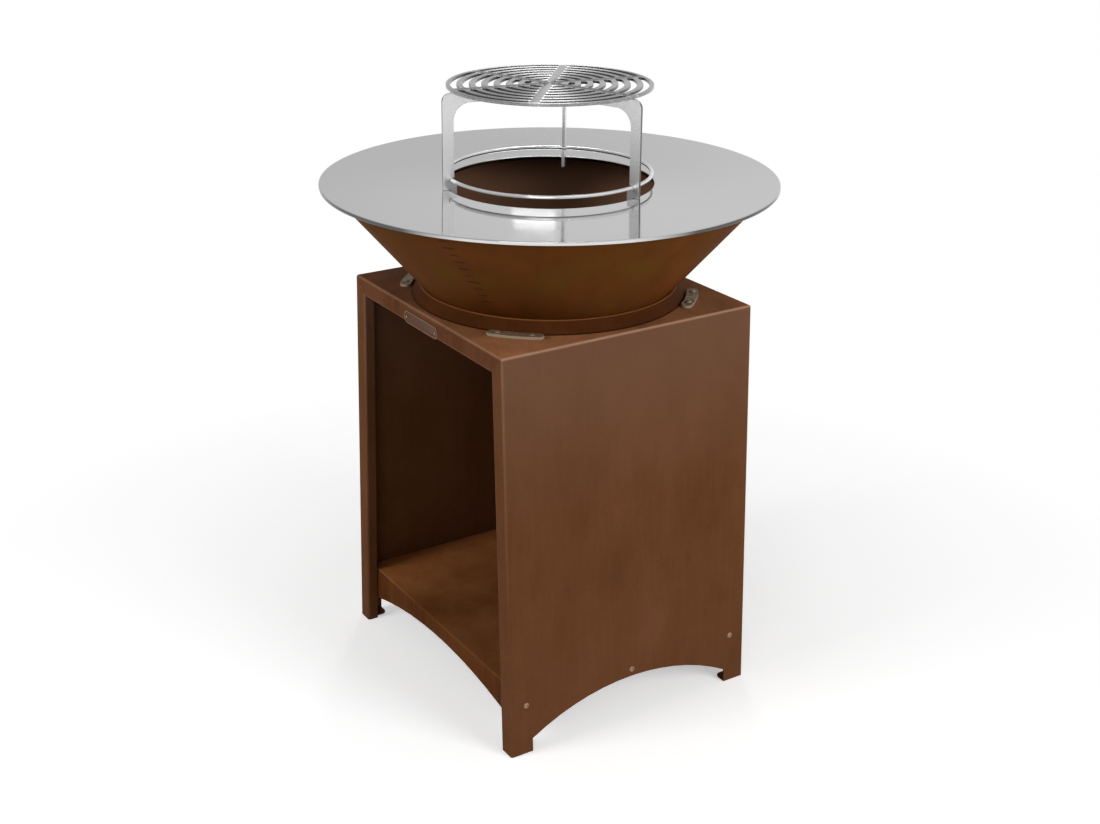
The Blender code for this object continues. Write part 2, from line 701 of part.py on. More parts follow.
def add_grate(axis):
    """The grate's rows of slots, its skilled feature: every bar and web comes from the slots' places."""
    loops = [circle((0, 0), GRATE_RADIUS)]
    for gap in range(WEBS):
        middle = FIRST_LEG_ANGLE + 2 * math.pi * (gap + 0.5) / WEBS
        for radius in slot_row_radii():
            loops.append(slot_outline(radius, middle))
        hole = (CENTRE_HOLE_CIRCLE * math.cos(middle), CENTRE_HOLE_CIRCLE * math.sin(middle))
        loops.append(circle(hole, CENTRE_HOLE_RADIUS))
    height = plate_surface(PLATE_HOLE_RADIUS) + GRATE_RISE - GRATE_THICKNESS / 2
    bm = plate_mesh(loops, GRATE_THICKNESS, Matrix.Translation((0, 0, height)))
    add_object("grill_grate", bm, FINISHES["stainless"], axis)


for old in list(bpy.data.objects):
    bpy.data.objects.remove(old)

FINISHES = {
    "rust": material("Weathered steel", "#65412A", 0.75, 0.0),
    "bowl": material("Weathered steel, oiled", "#5A331A", 0.6, 0.0),
    "bracket": material("Bare steel, dull", "#78644F", 0.5, 0.6),
    "fastener": material("Bare steel, bright", "#B08C70", 0.4, 0.7),
    "stainless": material("Stainless steel, brushed", "#C4C7C9", 0.3, 1.0),
}

rivet_tools = [add_rivet_hole_tool(-1), add_rivet_hole_tool(1)]
add_side_panel("side_panel_left", -1, rivet_tools[0])
add_side_panel("side_panel_right", 1, rivet_tools[1])
add_top_panel(add_screw_hole_tool())
add_back_panel()
add_shelf(rivet_tools)
add_rivets()
add_brackets()

ring_axis = add_axis("support_ring_axis", CABINET_HEIGHT)
bowl_axis = add_axis("bowl_axis", CABINET_HEIGHT + SUPPORT_HEIGHT, ring_axis)
plate_axis = add_axis("hotplate_axis", RIM_TOP, bowl_axis)
trivet_axis = add_axis("trivet_axis", RIM_TOP, plate_axis)
grate_axis = add_axis("grate_axis", RIM_TOP - PLATE_DISH + GRATE_RISE, trivet_axis)
add_support_ring(ring_axis)
add_bowl(bowl_axis)
add_hotplate(plate_axis)
add_trivet_ring(trivet_axis)
add_legs(trivet_axis)
add_grate(grate_axis)
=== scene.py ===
"""Barbecue grill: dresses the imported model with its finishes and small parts, in a plain pale studio.

Laid out as an add-on and run as a script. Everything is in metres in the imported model's own frame.
"""

import math

import bmesh
import bpy
from bpy.props import FloatProperty, FloatVectorProperty, IntProperty, PointerProperty
from mathutils import Matrix, Vector


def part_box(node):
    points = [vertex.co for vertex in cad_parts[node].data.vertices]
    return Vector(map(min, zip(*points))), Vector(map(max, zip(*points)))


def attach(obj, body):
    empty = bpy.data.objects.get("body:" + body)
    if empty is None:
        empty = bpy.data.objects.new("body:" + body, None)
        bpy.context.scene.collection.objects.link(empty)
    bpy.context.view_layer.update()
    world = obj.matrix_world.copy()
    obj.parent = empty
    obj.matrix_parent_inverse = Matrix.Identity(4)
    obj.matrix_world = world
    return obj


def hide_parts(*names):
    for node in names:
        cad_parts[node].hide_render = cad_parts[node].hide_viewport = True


bl_info = {
    "name": "Barbecue grill",
    "version": (1, 0, 0),
    "blender": (4, 5, 0),
    "location": "View3D > Sidebar > Grill",
    "description": "Dresses a bowl barbecue with a hotplate and a trivet on a folded cabinet",
    "category": "Object",
}

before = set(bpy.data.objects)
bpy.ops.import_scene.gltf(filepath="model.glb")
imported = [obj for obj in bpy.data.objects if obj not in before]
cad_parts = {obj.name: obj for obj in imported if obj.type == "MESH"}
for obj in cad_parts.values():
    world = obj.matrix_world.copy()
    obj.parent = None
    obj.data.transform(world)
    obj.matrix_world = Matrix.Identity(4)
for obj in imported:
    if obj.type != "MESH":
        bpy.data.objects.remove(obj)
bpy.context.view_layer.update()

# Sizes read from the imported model
PLATE_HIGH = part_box("hotplate")[1]
BOWL_LOW, BOWL_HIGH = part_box("fire_bowl")
SUPPORT_LOW, SUPPORT_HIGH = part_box("support_ring")
ROD_LOW, ROD_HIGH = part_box("trivet_ring")
GRATE_LOW, GRATE_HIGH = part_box("grill_grate")

# Sizes that the model's boxes don't give
PLATE_THICKNESS = 0.006
PLATE_DISH = 0.007
PLATE_HOLE_RADIUS = 0.1835
BOWL_WALL = 0.003
BOWL_SEAT_RADIUS = 0.2267
SUPPORT_TOP_RADIUS = 0.230
SUPPORT_WALL = 0.003
GRATE_RADIUS = 0.178
GRATE_RIM = 0.0077
SLOT_WIDTH = 0.0106
SLOT_PITCH = 0.0212
SLOT_ROWS = 7
WEB_WIDTH = 0.015
WEBS = 6
CENTRE_HOLE_RADIUS = 0.0026
CENTRE_HOLE_CIRCLE = 0.0172
LEGS = 3
FIRST_LEG_ANGLE = math.radians(18.5)
LEG_THICKNESS = 0.005
LEG_OUTER_RADIUS = 0.194
LEG_WIDTH = 0.020
LEG_CORNER = 0.015
LEG_FILLET = 0.030
ARM_DEPTH = 0.018
ARM_REACH = 0.094
ARM_END_ROUNDING = 0.006
TAB_WIDTH = 0.012
TAB_DEPTH = 0.017
TAB_CLEARANCE = 0.002
TAB_ROUNDING = 0.002
BRACKETS = 4
BRACKET_MIDDLE_RADIUS = 0.257
BRACKET_WIDTH = 0.020
BRACKET_LENGTH = 0.098
BRACKET_THICKNESS = 0.005
BRACKET_HOLE_RADIUS = 0.0031
BRACKET_HOLE_SPACING = 0.059
FIRST_BRACKET_ANGLE = math.radians(45)
SCREW_RADIUS = 0.0027
SCREW_HEAD_RADIUS = 0.0052
SCREW_RIM_HEIGHT = 0.0009
SOCKET_RADIUS = 0.0018
SOCKET_DEPTH = 0.0017
GAP = 0.0003
CABINET_HEIGHT = 0.727
CABINET_HALF_WIDTH = 0.259
HALF_DEPTH = 0.2545
CABINET_FLARE = 0.0315
RIVETS_PER_SIDE = 3
RIVET_HEIGHT = 0.0935
RIVET_HEAD_RADIUS = 0.0052
RIVET_HEAD_HEIGHT = 0.0018
RIVET_SHANK_RADIUS = 0.0024
RIVET_REACH = 0.0056
RIVET_TAIL_RADIUS = 0.0034
RIVET_TAIL_LENGTH = 0.003
# Where the plate's rim gets its painted reflection: its front right, as a level direction from the axis
RIM_REFLECTION_SIDE = (0.84, -0.543, 0.0)
# Below the turn from a cut plate's face to its eased edge, in degrees, so the face stays flat
FLAT_PLATE_ANGLE = 20
# Sides of a turned screw or rivet
FASTENER_STEPS = 32

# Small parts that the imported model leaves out, sized from the photograph, and the seam's angles in degrees
FIRST_MARK_HEIGHT = 0.913
LAST_MARK_HEIGHT = 0.782
FIRST_MARK_ANGLE = -59.4
LAST_MARK_ANGLE = -56.0
MARK_HALF_WIDTH = 0.0013
MARK_HALF_LENGTH = 0.0105
MARK_THICKNESS = 0.0005
BEAD_RADIUS = 0.0017
BEAD_STRETCH = (1.3, 0.8, 0.9)
BADGE_MIDDLE = (-0.007, -HALF_DEPTH, 0.705)
BADGE_THICKNESS = 0.0016
BADGE_BORDER = 0.0016
BADGE_STEP = 0.0004
BADGE_RECESS = 0.0008
BADGE_RIVET_RADIUS = 0.0024
# How far along the bare plate's half width its rivets sit
BADGE_RIVET_SHARE = 0.86

# Camera that matches the photograph
IMAGE_WIDTH = 1100
SENSOR = 36.0
CAMERA_PLACE = (2.2405, -1.4500, 1.6098)
CAMERA_TURN = (math.radians(69.516), 0.0, math.radians(58.473))
CAMERA_FOCAL_PIXELS = 1567.2
CAMERA_SHIFT = (0.0345, -0.0575)

# Softboxes: name, place, what it is aimed at, width, height, share of the lamp power, seen in metal
SOFTBOXES = (
    ("front softbox", (-0.3, -3.2, 2.0), (0, 0, 0.4), 1.2, 1.2, 2.1, False),
    ("side softbox", (3.2, 1.0, 1.6), (0, 0, 0.4), 1.6, 1.6, 2.7, False),
    ("camera softbox", (2.6, -2.4, 2.4), (0, 0, 0.4), 1.6, 1.6, 0.65, True),
    ("high rear softbox", (-2.4, 1.6, 3.2), (0, 0, 1.0), 0.45, 0.45, 0.5, True),
    ("far strip", (-4.40, 2.77, 2.10), (0.24, -0.16, 0.925), 0.19, 0.016, 0.0021, True),
)

# The room as metal shows it: height of the view direction, and how pale the wall is there
ROOM_WALLS = ((0.0, 0.8), (0.17, 0.76), (0.23, 0.72), (0.32, 0.6), (0.5, 0.45), (0.8, 0.8))


def colour(hex_code):
    """sRGB hex to the linear colour that a shader takes."""
    channels = [int(hex_code[i : i + 2], 16) / 255 for i in (1, 3, 5)]
    return (*(c / 12.92 if c <= 0.04045 else ((c + 0.055) / 1.055) ** 2.4 for c in channels), 1)


def grey(value):
    """A grey from its linear value."""
    return (value, value, value, 1)


class GrillSettings(bpy.types.PropertyGroup):
    """Sizes and colours of the dressed grill."""

    turning_steps: IntProperty(
        name="Turning steps", description="Sides of each turned piece", default=192, min=24, max=512
    )
    edge_rounding: FloatProperty(
        name="Edge rounding",
        description="Radius that takes the sharpness off cut edges",
        default=0.0005,
        min=0.0001,
        max=0.0015,
        precision=4,
        unit="LENGTH",
    )
    seam_marks: IntProperty(
        name="Seam marks", description="Forming marks along the bowl's seam", default=10, min=0, max=24
    )
    badge_width: FloatProperty(
        name="Plate width", description="Width of the bare plate on the rail", default=0.119, unit="LENGTH"
    )
    badge_height: FloatProperty(
        name="Plate height", description="Height of the bare plate on the rail", default=0.022, unit="LENGTH"
    )
    lamp_power: FloatProperty(
        name="Lamp power",
        description="Power that each softbox takes its share of",
        default=26.0,
        min=0.0,
        unit="POWER",
    )
    daylight: FloatProperty(
        name="Studio light", description="Strength of the even light of the room", default=0.21, min=0.0
    )
    rust_runs: FloatVectorProperty(
        name="Rust runs",
        description="Colour of the runs that rain draws down the weathering steel",
        default=colour("#7C4E30")[:3],
        min=0.0,
        max=1.0,
        subtype="COLOR",
    )
    # Greyer upper part of the side sheets: partly dust, partly painted sheen
    dust_and_sheen: FloatVectorProperty(
        name="Dust",
        description="Colour of the dust on the upper part of the side sheets",
        default=colour("#6B4F3D")[:3],
        min=0.0,
        max=1.0,
        subtype="COLOR",
    )


def settings():
    return bpy.context.scene.grill_settings


# Finishes


def node(tree, kind, inputs=None, **choices):
    """Adds one shader node, sets its choices by name, and gives each input a value or an output's link."""
    made = tree.nodes.new("ShaderNode" + kind)
    for name, value in choices.items():
        setattr(made, name, value)
    for key, value in (inputs or {}).items():
        if isinstance(value, bpy.types.NodeSocket):
            tree.links.new(value, made.inputs[key])
        else:
            made.inputs[key].default_value = value
    return made


def new_finish(name):
    """A named material, its node tree, its shader and its object coordinates."""
    made = bpy.data.materials.new(name)
    made.use_nodes = True
    tree = made.node_tree
    place = node(tree, "TexCoord").outputs["Object"]
    return made, tree, tree.nodes["Principled BSDF"], place


def mottle(tree, place, size_mm, detail=2.0, roughness=0.5, stretch=(1, 1, 1)):
    """A pattern of lumps about size_mm across, stretched along an axis where asked."""
    scale = [1000 / size_mm / s for s in stretch]
    spread = node(tree, "Mapping", {"Vector": place, "Scale": scale}).outputs["Vector"]
    inputs = {"Vector": spread, "Scale": 1.0, "Detail": detail, "Roughness": roughness}
    return node(tree, "TexNoise", inputs).outputs["Fac"]


def shades(tree, pattern, stops):
    """Colours along a pattern, through (level, colour) stops."""
    made = node(tree, "ValToRGB", {"Fac": pattern})
    elements = made.color_ramp.elements
    elements[0].position, elements[0].color = stops[0]
    elements[1].position, elements[1].color = stops[-1]
    for level, tint in stops[1:-1]:
        elements.new(level).color = tint
    return made.outputs["Color"]


def share(tree, pattern, levels, shares=(0, 1)):
    """Turns a pattern's stretch between two levels into a share between two others, clamped."""
    inputs = dict(zip(("Value", "From Min", "From Max", "To Min", "To Max"), (pattern, *levels, *shares)))
    return node(tree, "MapRange", inputs).outputs["Result"]


def layer(tree, under, tint, pattern, levels=(0, 1), shares=(0, 1)):
    """Lays a tint over a colour, each a hex code, value or output, as a pattern passes two levels."""
    under, tint = (colour(side) if isinstance(side, str) else side for side in (under, tint))
    inputs = {0: share(tree, pattern, levels, shares), 6: under, 7: tint}
    return node(tree, "Mix", inputs, data_type="RGBA").outputs[2]


def vary(tree, shader, name, pattern, levels, values):
    """Lets one of the shader's values follow a pattern."""
    tree.links.new(share(tree, pattern, levels, values), shader.inputs[name])


def relief(tree, shader, pattern, depth_mm, strength):
    """Lets the surface rise and fall with a pattern."""
    inputs = {"Height": pattern, "Strength": strength, "Distance": depth_mm / 1000}
    tree.links.new(node(tree, "Bump", inputs).outputs["Normal"], shader.inputs["Normal"])


def facing_parts(tree):
    """The three parts of the surface's true normal."""
    facing = node(tree, "NewGeometry").outputs["True Normal"]
    return node(tree, "SeparateXYZ", {"Vector": facing}).outputs


def fold_highlight(tree, place, body):
    """Painted highlight on the folds, the top's side folds most: a paler brown that fades downwards."""
    sizes = [node(tree, "Math", {0: part}, operation="ABSOLUTE").outputs[0] for part in facing_parts(tree)]
    total = 0.0
    for first, second, amount in ((0, 1, 0.3), (1, 2, 0.4), (0, 2, 1.0)):
        both = node(tree, "Math", {0: sizes[first], 1: sizes[second]}, operation="MULTIPLY")
        turned = share(tree, both.outputs[0], (0.12, 0.42), (0, amount))
        total = node(tree, "Math", {0: total, 1: turned}, operation="ADD").outputs[0]
    height = node(tree, "SeparateXYZ", {"Vector": place}).outputs["Z"]
    fade = share(tree, height, (0.25, CABINET_HEIGHT), (0.05, 0.75))
    painted_light = node(tree, "Math", {0: total, 1: fade}, operation="MULTIPLY").outputs[0]
    return layer(tree, body, "#B58D74", painted_light)


def dust_and_sheen_top(tree, place, body):
    """The upper part of the side sheets is greyer, partly dust and partly painted sheen, and the folds get
    the painted highlight.
    """
    height = node(tree, "SeparateXYZ", {"Vector": place}).outputs["Z"]
    high = share(tree, height, (CABINET_HEIGHT - 0.3, CABINET_HEIGHT - 0.03), (0, 0.6))
    facing = node(tree, "Math", {0: facing_parts(tree)["X"]}, operation="ABSOLUTE").outputs[0]
    sideways = share(tree, facing, (0.6, 0.9))
    # Dust and painted sheen grey the side-facing faces near the top
    dust_and_sheen = node(tree, "Math", {0: high, 1: sideways}, operation="MULTIPLY").outputs[0]
    return fold_highlight(tree, place, layer(tree, body, (*settings().dust_and_sheen, 1), dust_and_sheen))


def collar_painted_light(tree, place, body):
    """Painted highlight and shadow on the collar: a paler line along its upper edge, and a dark line at its
    foot.
    """
    height = node(tree, "SeparateXYZ", {"Vector": place}).outputs["Z"]
    # Painted shadow: a dark line at the collar's foot
    body = layer(tree, body, "#1C0E06", height, (SUPPORT_LOW.z + 0.0008, SUPPORT_LOW.z + 0.0028), (0.8, 0))
    # Painted highlight: a paler line along the collar's upper edge
    return layer(tree, body, "#8E5C32", height, (SUPPORT_HIGH.z - 0.0018, SUPPORT_HIGH.z - 0.0008), (0, 0.6))


def painted_light_on_upper_faces(tree, place, body, clouds, shaded, lit, start, end):
    """Painted light and shade on the faces that look up: other browns, in shade at one end and lit at the
    other.
    """
    along = node(tree, "SeparateXYZ", {"Vector": place}).outputs["X"]
    browns = []
    for light, dark in (shaded, lit):
        browns.append(shades(tree, clouds, [(0.32, colour(dark)), (0.68, colour(light))]))
    flat = layer(tree, *browns, along, (start, end))
    return layer(tree, body, flat, facing_parts(tree)["Z"], (0.5, 0.9))


def weathering_steel(name, light, dark, roughness, painted_light=fold_highlight, upper=None, streaks=0.2):
    """Weathering steel, rolled, folded and rusted in the open: matt brown with a fine grain."""
    made, tree, shader, place = new_finish(name)
    # Rust is porous, so it shines less than a closed coat
    shader.inputs["Specular IOR Level"].default_value = 0.03
    # Rust takes unevenly: clouds about 120 mm across, drawn down the sheet by rain
    clouds = mottle(tree, place, 120, 5, 0.6, (1, 1, 1.8))
    body = shades(tree, clouds, [(0.32, colour(dark)), (0.68, colour(light))])
    # Painted light and shade on the faces that look up
    if upper:
        body = painted_light_on_upper_faces(tree, place, body, clouds, *upper)
    # Runs about 9 mm wide, much longer down the sheet
    runs = mottle(tree, place, 9, 3, 0.6, (1, 1, 14))
    body = layer(tree, body, (*settings().rust_runs, 1), runs, (0.42, 0.72), (0, streaks))
    # Rust grains are under 1 mm: drawn at 2.2 mm so that they show
    grain = mottle(tree, place, 2.2, 3, 0.7)
    body = layer(tree, body, "#3E2110", grain, (0.5, 0.75), (0, 0.3))
    # Scattered darker pits about 14 mm apart
    pits = node(tree, "TexVoronoi", {"Vector": place, "Scale": 1000 / 14}).outputs["Distance"]
    body = layer(tree, body, "#2C1508", pits, (0.16, 0.05), (0, 0.22))
    # Painted light goes on last, with dust on the side sheets: the fold highlight unless the recipe gives
    # another
    tree.links.new(painted_light(tree, place, body), shader.inputs["Base Color"])
    vary(tree, shader, "Roughness", grain, (0.3, 0.7), (roughness - 0.08, roughness + 0.1))
    relief(tree, shader, grain, 0.12, 0.5)
    return made


def bowl_steel():
    """Weathering steel, rolled to a cone: warm and half sealed, with olive patches and painted shade that
    darkens its foot.
    """
    made, tree, shader, place = new_finish("weathering steel, sealed bowl")
    shader.inputs["Specular IOR Level"].default_value = 0.03
    clouds = mottle(tree, place, 130, 4, 0.55)
    warm = [(0.34, colour("#633612")), (0.5, colour("#5A3311")), (0.7, colour("#573912"))]
    body = shades(tree, clouds, warm)
    # The rolling of the cone leaves soft bands about 60 mm wide that run up the slope
    bands = mottle(tree, place, 60, 2, 0.5, (1, 1, 6))
    body = layer(tree, body, "#4A250C", bands, (0.4, 0.7), (0, 0.35))
    # Painted shade: darker towards the foot, where the collar shades the cone
    height = node(tree, "SeparateXYZ", {"Vector": place}).outputs["Z"]
    body = layer(tree, body, "#3A1B09", height, (BOWL_LOW.z + 0.02, BOWL_LOW.z + 0.1), (0.35, 0))
    # Its grains are under 1 mm too: drawn at 2 mm
    grain = mottle(tree, place, 2.0, 3, 0.7)
    body = layer(tree, body, "#341808", grain, (0.52, 0.78), (0, 0.22))
    # The faces that look up, on the inside, are paler and greyer
    paler_inside = layer(tree, "#916A52", "#836049", clouds)
    body = layer(tree, body, paler_inside, facing_parts(tree)["Z"], (0.1, 0.4))
    tree.links.new(body, shader.inputs["Base Color"])
    vary(tree, shader, "Roughness", clouds, (0.3, 0.7), (0.66, 0.78))
    relief(tree, shader, grain, 0.08, 0.4)
    return made


def stainless(name, tint, roughness, brushed_mm, stretch, haze=0.0, edge=None):
    """Stainless steel, ground with a belt: faint scratches, and a haze that scatters a little."""
    made, tree, shader, place = new_finish(name)
    shader.inputs["Metallic"].default_value = 1.0 - haze
    # Belt scratches are about 0.1 mm apart: drawn coarser, at the size given, so that they show
    scratches = mottle(tree, place, brushed_mm, 3, 0.6, stretch)
    body = layer(tree, tint, "#AAAAAA", scratches, (0.35, 0.65), (0, 0.03))
    if edge:
        body = edge(tree, place, body)
    tree.links.new(body, shader.inputs["Base Color"])
    # The grinding is a little finer here and there, in clouds about 90 mm across
    clouds = mottle(tree, place, 90, 3, 0.5)
    vary(tree, shader, "Roughness", clouds, (0.35, 0.65), (roughness - 0.02, roughness + 0.02))
    return made


def outward_from_axis(tree, place):
    """The level direction from the grill's upright axis to the place, which turns with the piece."""
    parts = node(tree, "SeparateXYZ", {"Vector": place}).outputs
    level = node(tree, "CombineXYZ", {"X": parts["X"], "Y": parts["Y"]}).outputs[0]
    return node(tree, "VectorMath", {0: level}, operation="NORMALIZE").outputs[0]


def dull_outer_edge(tree, place, body):
    """The cut edges that look outwards stay dull and dark between the brushed faces."""
    directions = {0: node(tree, "TexCoord").outputs["Normal"], 1: outward_from_axis(tree, place)}
    turned = node(tree, "VectorMath", directions, operation="DOT_PRODUCT").outputs["Value"]
    return layer(tree, body, "#555555", turned, (0.5, 0.9), (0, 0.9))


def rim_painted_light(tree, place, body):
    """The plate's cut edge: dull, with a painted reflection that brightens it on the front right, and painted
    shadow underneath.
    """
    directions = {0: outward_from_axis(tree, place), 1: RIM_REFLECTION_SIDE}
    toward_reflection = node(tree, "VectorMath", directions, operation="DOT_PRODUCT").outputs["Value"]
    # Painted reflection: bright on the front right side of the rim
    wall = layer(tree, "#5C5C5C", "#DCDCDC", toward_reflection, (0.82, 0.95))
    slope = facing_parts(tree)["Z"]
    body = layer(tree, body, wall, slope, (0.3, 0.7), (1, 0))
    # Painted shadow on the faces that look down
    return layer(tree, body, "#2E2E2E", slope, (-0.6, -0.3), (1, 0))


def distance_from_web(tree, parts, radius):
    """How far a place lies from the middle of the nearest web, along its ring."""
    angle = node(tree, "Math", {0: parts["Y"], 1: parts["X"]}, operation="ARCTAN2").outputs[0]
    angle = node(tree, "Math", {0: angle, 1: FIRST_LEG_ANGLE}, operation="SUBTRACT").outputs[0]
    angle = node(tree, "Math", {0: angle, 1: math.pi / WEBS}, operation="PINGPONG").outputs[0]
    return node(tree, "Math", {0: angle, 1: radius}, operation="MULTIPLY").outputs[0]


def web_painted_light(tree, place, body, parts, radius):
    """The webs get a painted darker reflection, and painted glints where the slots end."""
    off_web = distance_from_web(tree, parts, radius)
    web = share(tree, off_web, (WEB_WIDTH * 0.44, WEB_WIDTH * 0.56), (0.85, 0))
    inner_edge = GRATE_RADIUS - GRATE_RIM
    within = share(tree, radius, (inner_edge - 0.001, inner_edge + 0.001), (1, 0))
    web = node(tree, "Math", {0: web, 1: within}, operation="MULTIPLY").outputs[0]
    # Painted reflection: the webs darker
    body = layer(tree, body, "#5A5A5A", web)
    # Painted glints near the ends of the slots
    glint = node(tree, "Math", {0: off_web, 1: WEB_WIDTH * 0.62}, operation="SUBTRACT").outputs[0]
    glint = node(tree, "Math", {0: glint}, operation="ABSOLUTE").outputs[0]
    glint = share(tree, glint, (0.0008, 0.0022), (0.9, 0))
    spots = share(tree, mottle(tree, place, 5.0, 1, 0.4), (0.5, 0.6))
    glint = node(tree, "Math", {0: glint, 1: spots}, operation="MULTIPLY").outputs[0]
    return layer(tree, body, "#F4F4F4", glint)


def grate_steel():
    """Stainless steel, laser cut and ground in rings: bright fans across them, dark walls in the slots."""
    made, tree, shader, place = new_finish("stainless steel, ring ground grate")
    shader.inputs["Metallic"].default_value = 1.0
    shader.inputs["Anisotropic"].default_value = 0.9
    shader.inputs["Anisotropic Rotation"].default_value = 0.25
    rings = node(tree, "Tangent", direction_type="RADIAL", axis="Z")
    tree.links.new(rings.outputs["Tangent"], shader.inputs["Tangent"])
    # Grinding marks are under 1 mm: drawn at 3 mm so that they show
    speckle = mottle(tree, place, 3.0, 3, 0.6)
    body = layer(tree, "#B6B6B6", "#888888", speckle, (0.4, 0.7))
    parts = node(tree, "SeparateXYZ", {"Vector": place}).outputs
    level = node(tree, "CombineXYZ", {"X": parts["X"], "Y": parts["Y"]}).outputs[0]
    radius = node(tree, "VectorMath", {0: level}, operation="LENGTH").outputs["Value"]
    # Painted reflection and glints on the webs
    body = web_painted_light(tree, place, body, parts, radius)
    # The laser leaves its cut walls dark and rough, and the outermost one is ground
    slope = node(tree, "Math", {0: facing_parts(tree)["Z"]}, operation="ABSOLUTE").outputs[0]
    wall = share(tree, slope, (0.25, 0.6), (1, 0))
    inside = share(tree, radius, (GRATE_RADIUS - 0.0015, GRATE_RADIUS - 0.0005), (1, 0.15))
    cut = node(tree, "Math", {0: wall, 1: inside}, operation="MULTIPLY").outputs[0]
    tree.links.new(layer(tree, body, "#5A5B5D", cut), shader.inputs["Base Color"])
    vary(tree, shader, "Roughness", speckle, (0.35, 0.65), (0.28, 0.36))
    relief(tree, shader, speckle, 0.01, 0.3)
    return made


def bare_and_lit_walls(tree, place, body):
    """Cut walls stay barer than the face and carry a painted highlight: a paler grey where the piece doesn't
    look up.
    """
    return layer(tree, body, "#B5A48C", facing_parts(tree)["Z"], (0.3, 0.85), (0.75, 0))


def border_highlight(tree, place, body):
    """Painted highlight on the raised border of the plate on the rail."""
    depth = node(tree, "SeparateXYZ", {"Vector": place}).outputs["Y"]
    return layer(tree, body, "#94704E", depth, (-HALF_DEPTH - 0.0011, -HALF_DEPTH - 0.0014), (0, 0.65))


def tarnished_steel(name, light, dark, roughness, metallic, painted_light=None, bloom_mm=7):
    """Bare steel that has begun to rust: grey metal under brown bloom."""
    made, tree, shader, place = new_finish(name)
    bloom = mottle(tree, place, bloom_mm, 4, 0.65)
    shader.inputs["Specular IOR Level"].default_value = 0.2
    body = shades(tree, bloom, [(0.38, colour(light)), (0.62, colour(dark))])
    # Painted light where the finish asks for it
    if painted_light:
        body = painted_light(tree, place, body)
    tree.links.new(body, shader.inputs["Base Color"])
    vary(tree, shader, "Metallic", bloom, (0.4, 0.65), (metallic, metallic * 0.35))
    vary(tree, shader, "Roughness", bloom, (0.35, 0.65), (roughness, roughness + 0.2))
    # Scale and pits are under 1 mm: drawn at 1.2 mm
    relief(tree, shader, mottle(tree, place, 1.2, 2, 0.6), 0.08, 0.5)
    return made


# Painted light and shade on the faces that look up: shaded and lit pairs of browns, and where along x one
# turns into the other
TOP_PAINTED_LIGHT = (("#6E462E", "#543420"), ("#B27A54", "#8C5E3D"), -0.2, 0.22)
SHELF_PAINTED_LIGHT = (("#875633", "#673B1C"), ("#B27343", "#884F28"), -0.06, -0.25)

RECIPES = {
    "side": lambda: weathering_steel(
        "weathering steel, side sheet", "#674129", "#5A371E", 0.62, dust_and_sheen_top, streaks=0.12
    ),
    "frame": lambda: weathering_steel(
        "weathering steel, top sheet", "#66402A", "#50301C", 0.7, upper=TOP_PAINTED_LIGHT
    ),
    "shelf": lambda: weathering_steel(
        "weathering steel, shelf sheet", "#603618", "#48240B", 0.7, upper=SHELF_PAINTED_LIGHT
    ),
    "collar": lambda: weathering_steel(
        "weathering steel, collar", "#4E2A13", "#3E200C", 0.66, collar_painted_light, streaks=0.04
    ),
    "bowl": bowl_steel,
    "plate": lambda: stainless(
        "stainless steel, ground plate", "#CFCFCF", 0.07, 1.6, (1, 30, 1), edge=rim_painted_light
    ),
    "grate": grate_steel,
    "leg": lambda: stainless(
        "stainless steel, brushed flat", "#E6E6E6", 0.27, 3.0, (1, 1, 25), 0.35, dull_outer_edge
    ),
    "rod": lambda: stainless("stainless steel, drawn rod", "#EEEEEE", 0.18, 3.0, (1, 1, 1)),
    "bracket": lambda: tarnished_steel(
        "tarnished steel, cut plate", "#9A866E", "#725E4A", 0.42, 0.5, bare_and_lit_walls
    ),
    "screw": lambda: tarnished_steel("tarnished steel, screw", "#B8A48C", "#806850", 0.3, 0.8),
    "rivet": lambda: tarnished_steel("blind rivet, plated steel", "#B8977A", "#8A674A", 0.38, 0.8),
    "badge": lambda: tarnished_steel(
        "bare plate, pressed steel", "#54341F", "#4A2D19", 0.45, 0.15, border_highlight, 1.5
    ),
    "mark": lambda: tarnished_steel("forming marks, dark scale", "#221207", "#160B04", 0.75, 0.0),
}
FINISHES = {}


def finish(key):
    """Makes each finish once, when it is first asked for."""
    if key not in FINISHES:
        FINISHES[key] = RECIPES[key]()
    return FINISHES[key]


# Ways of working


def select_only(made):
    """Leaves edit mode and selects one piece alone, or nothing."""
    if bpy.context.mode != "OBJECT":
        bpy.ops.object.mode_set(mode="OBJECT")
    bpy.ops.object.select_all(action="DESELECT")
    if made:
        made.select_set(True)
        bpy.context.view_layer.objects.active = made


def edit_all():
    """Opens the active piece in edit mode, with all of it selected."""
    bpy.ops.object.mode_set(mode="EDIT")
    bpy.ops.mesh.select_all(action="SELECT")


def close_mesh():
    """Merges the active piece's doubled points and turns its faces outwards."""
    edit_all()
    bpy.ops.mesh.remove_doubles(threshold=0.000002)
    bpy.ops.mesh.normals_make_consistent(inside=False)
    bpy.ops.object.mode_set(mode="OBJECT")


def settle(made, name, key, body, nodes=(), angle=35):
    """Applies the piece's place, closes and smooths it, and hands it to its body, slot and nodes."""
    select_only(made)
    bpy.ops.object.transform_apply()
    close_mesh()
    bpy.ops.object.shade_smooth_by_angle(angle=math.radians(angle))
    made.name = made.data.name = name
    made.data.materials.clear()
    made.data.materials.append(finish(key))
    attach(made, body)
    if nodes:
        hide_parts(*nodes)
    return made


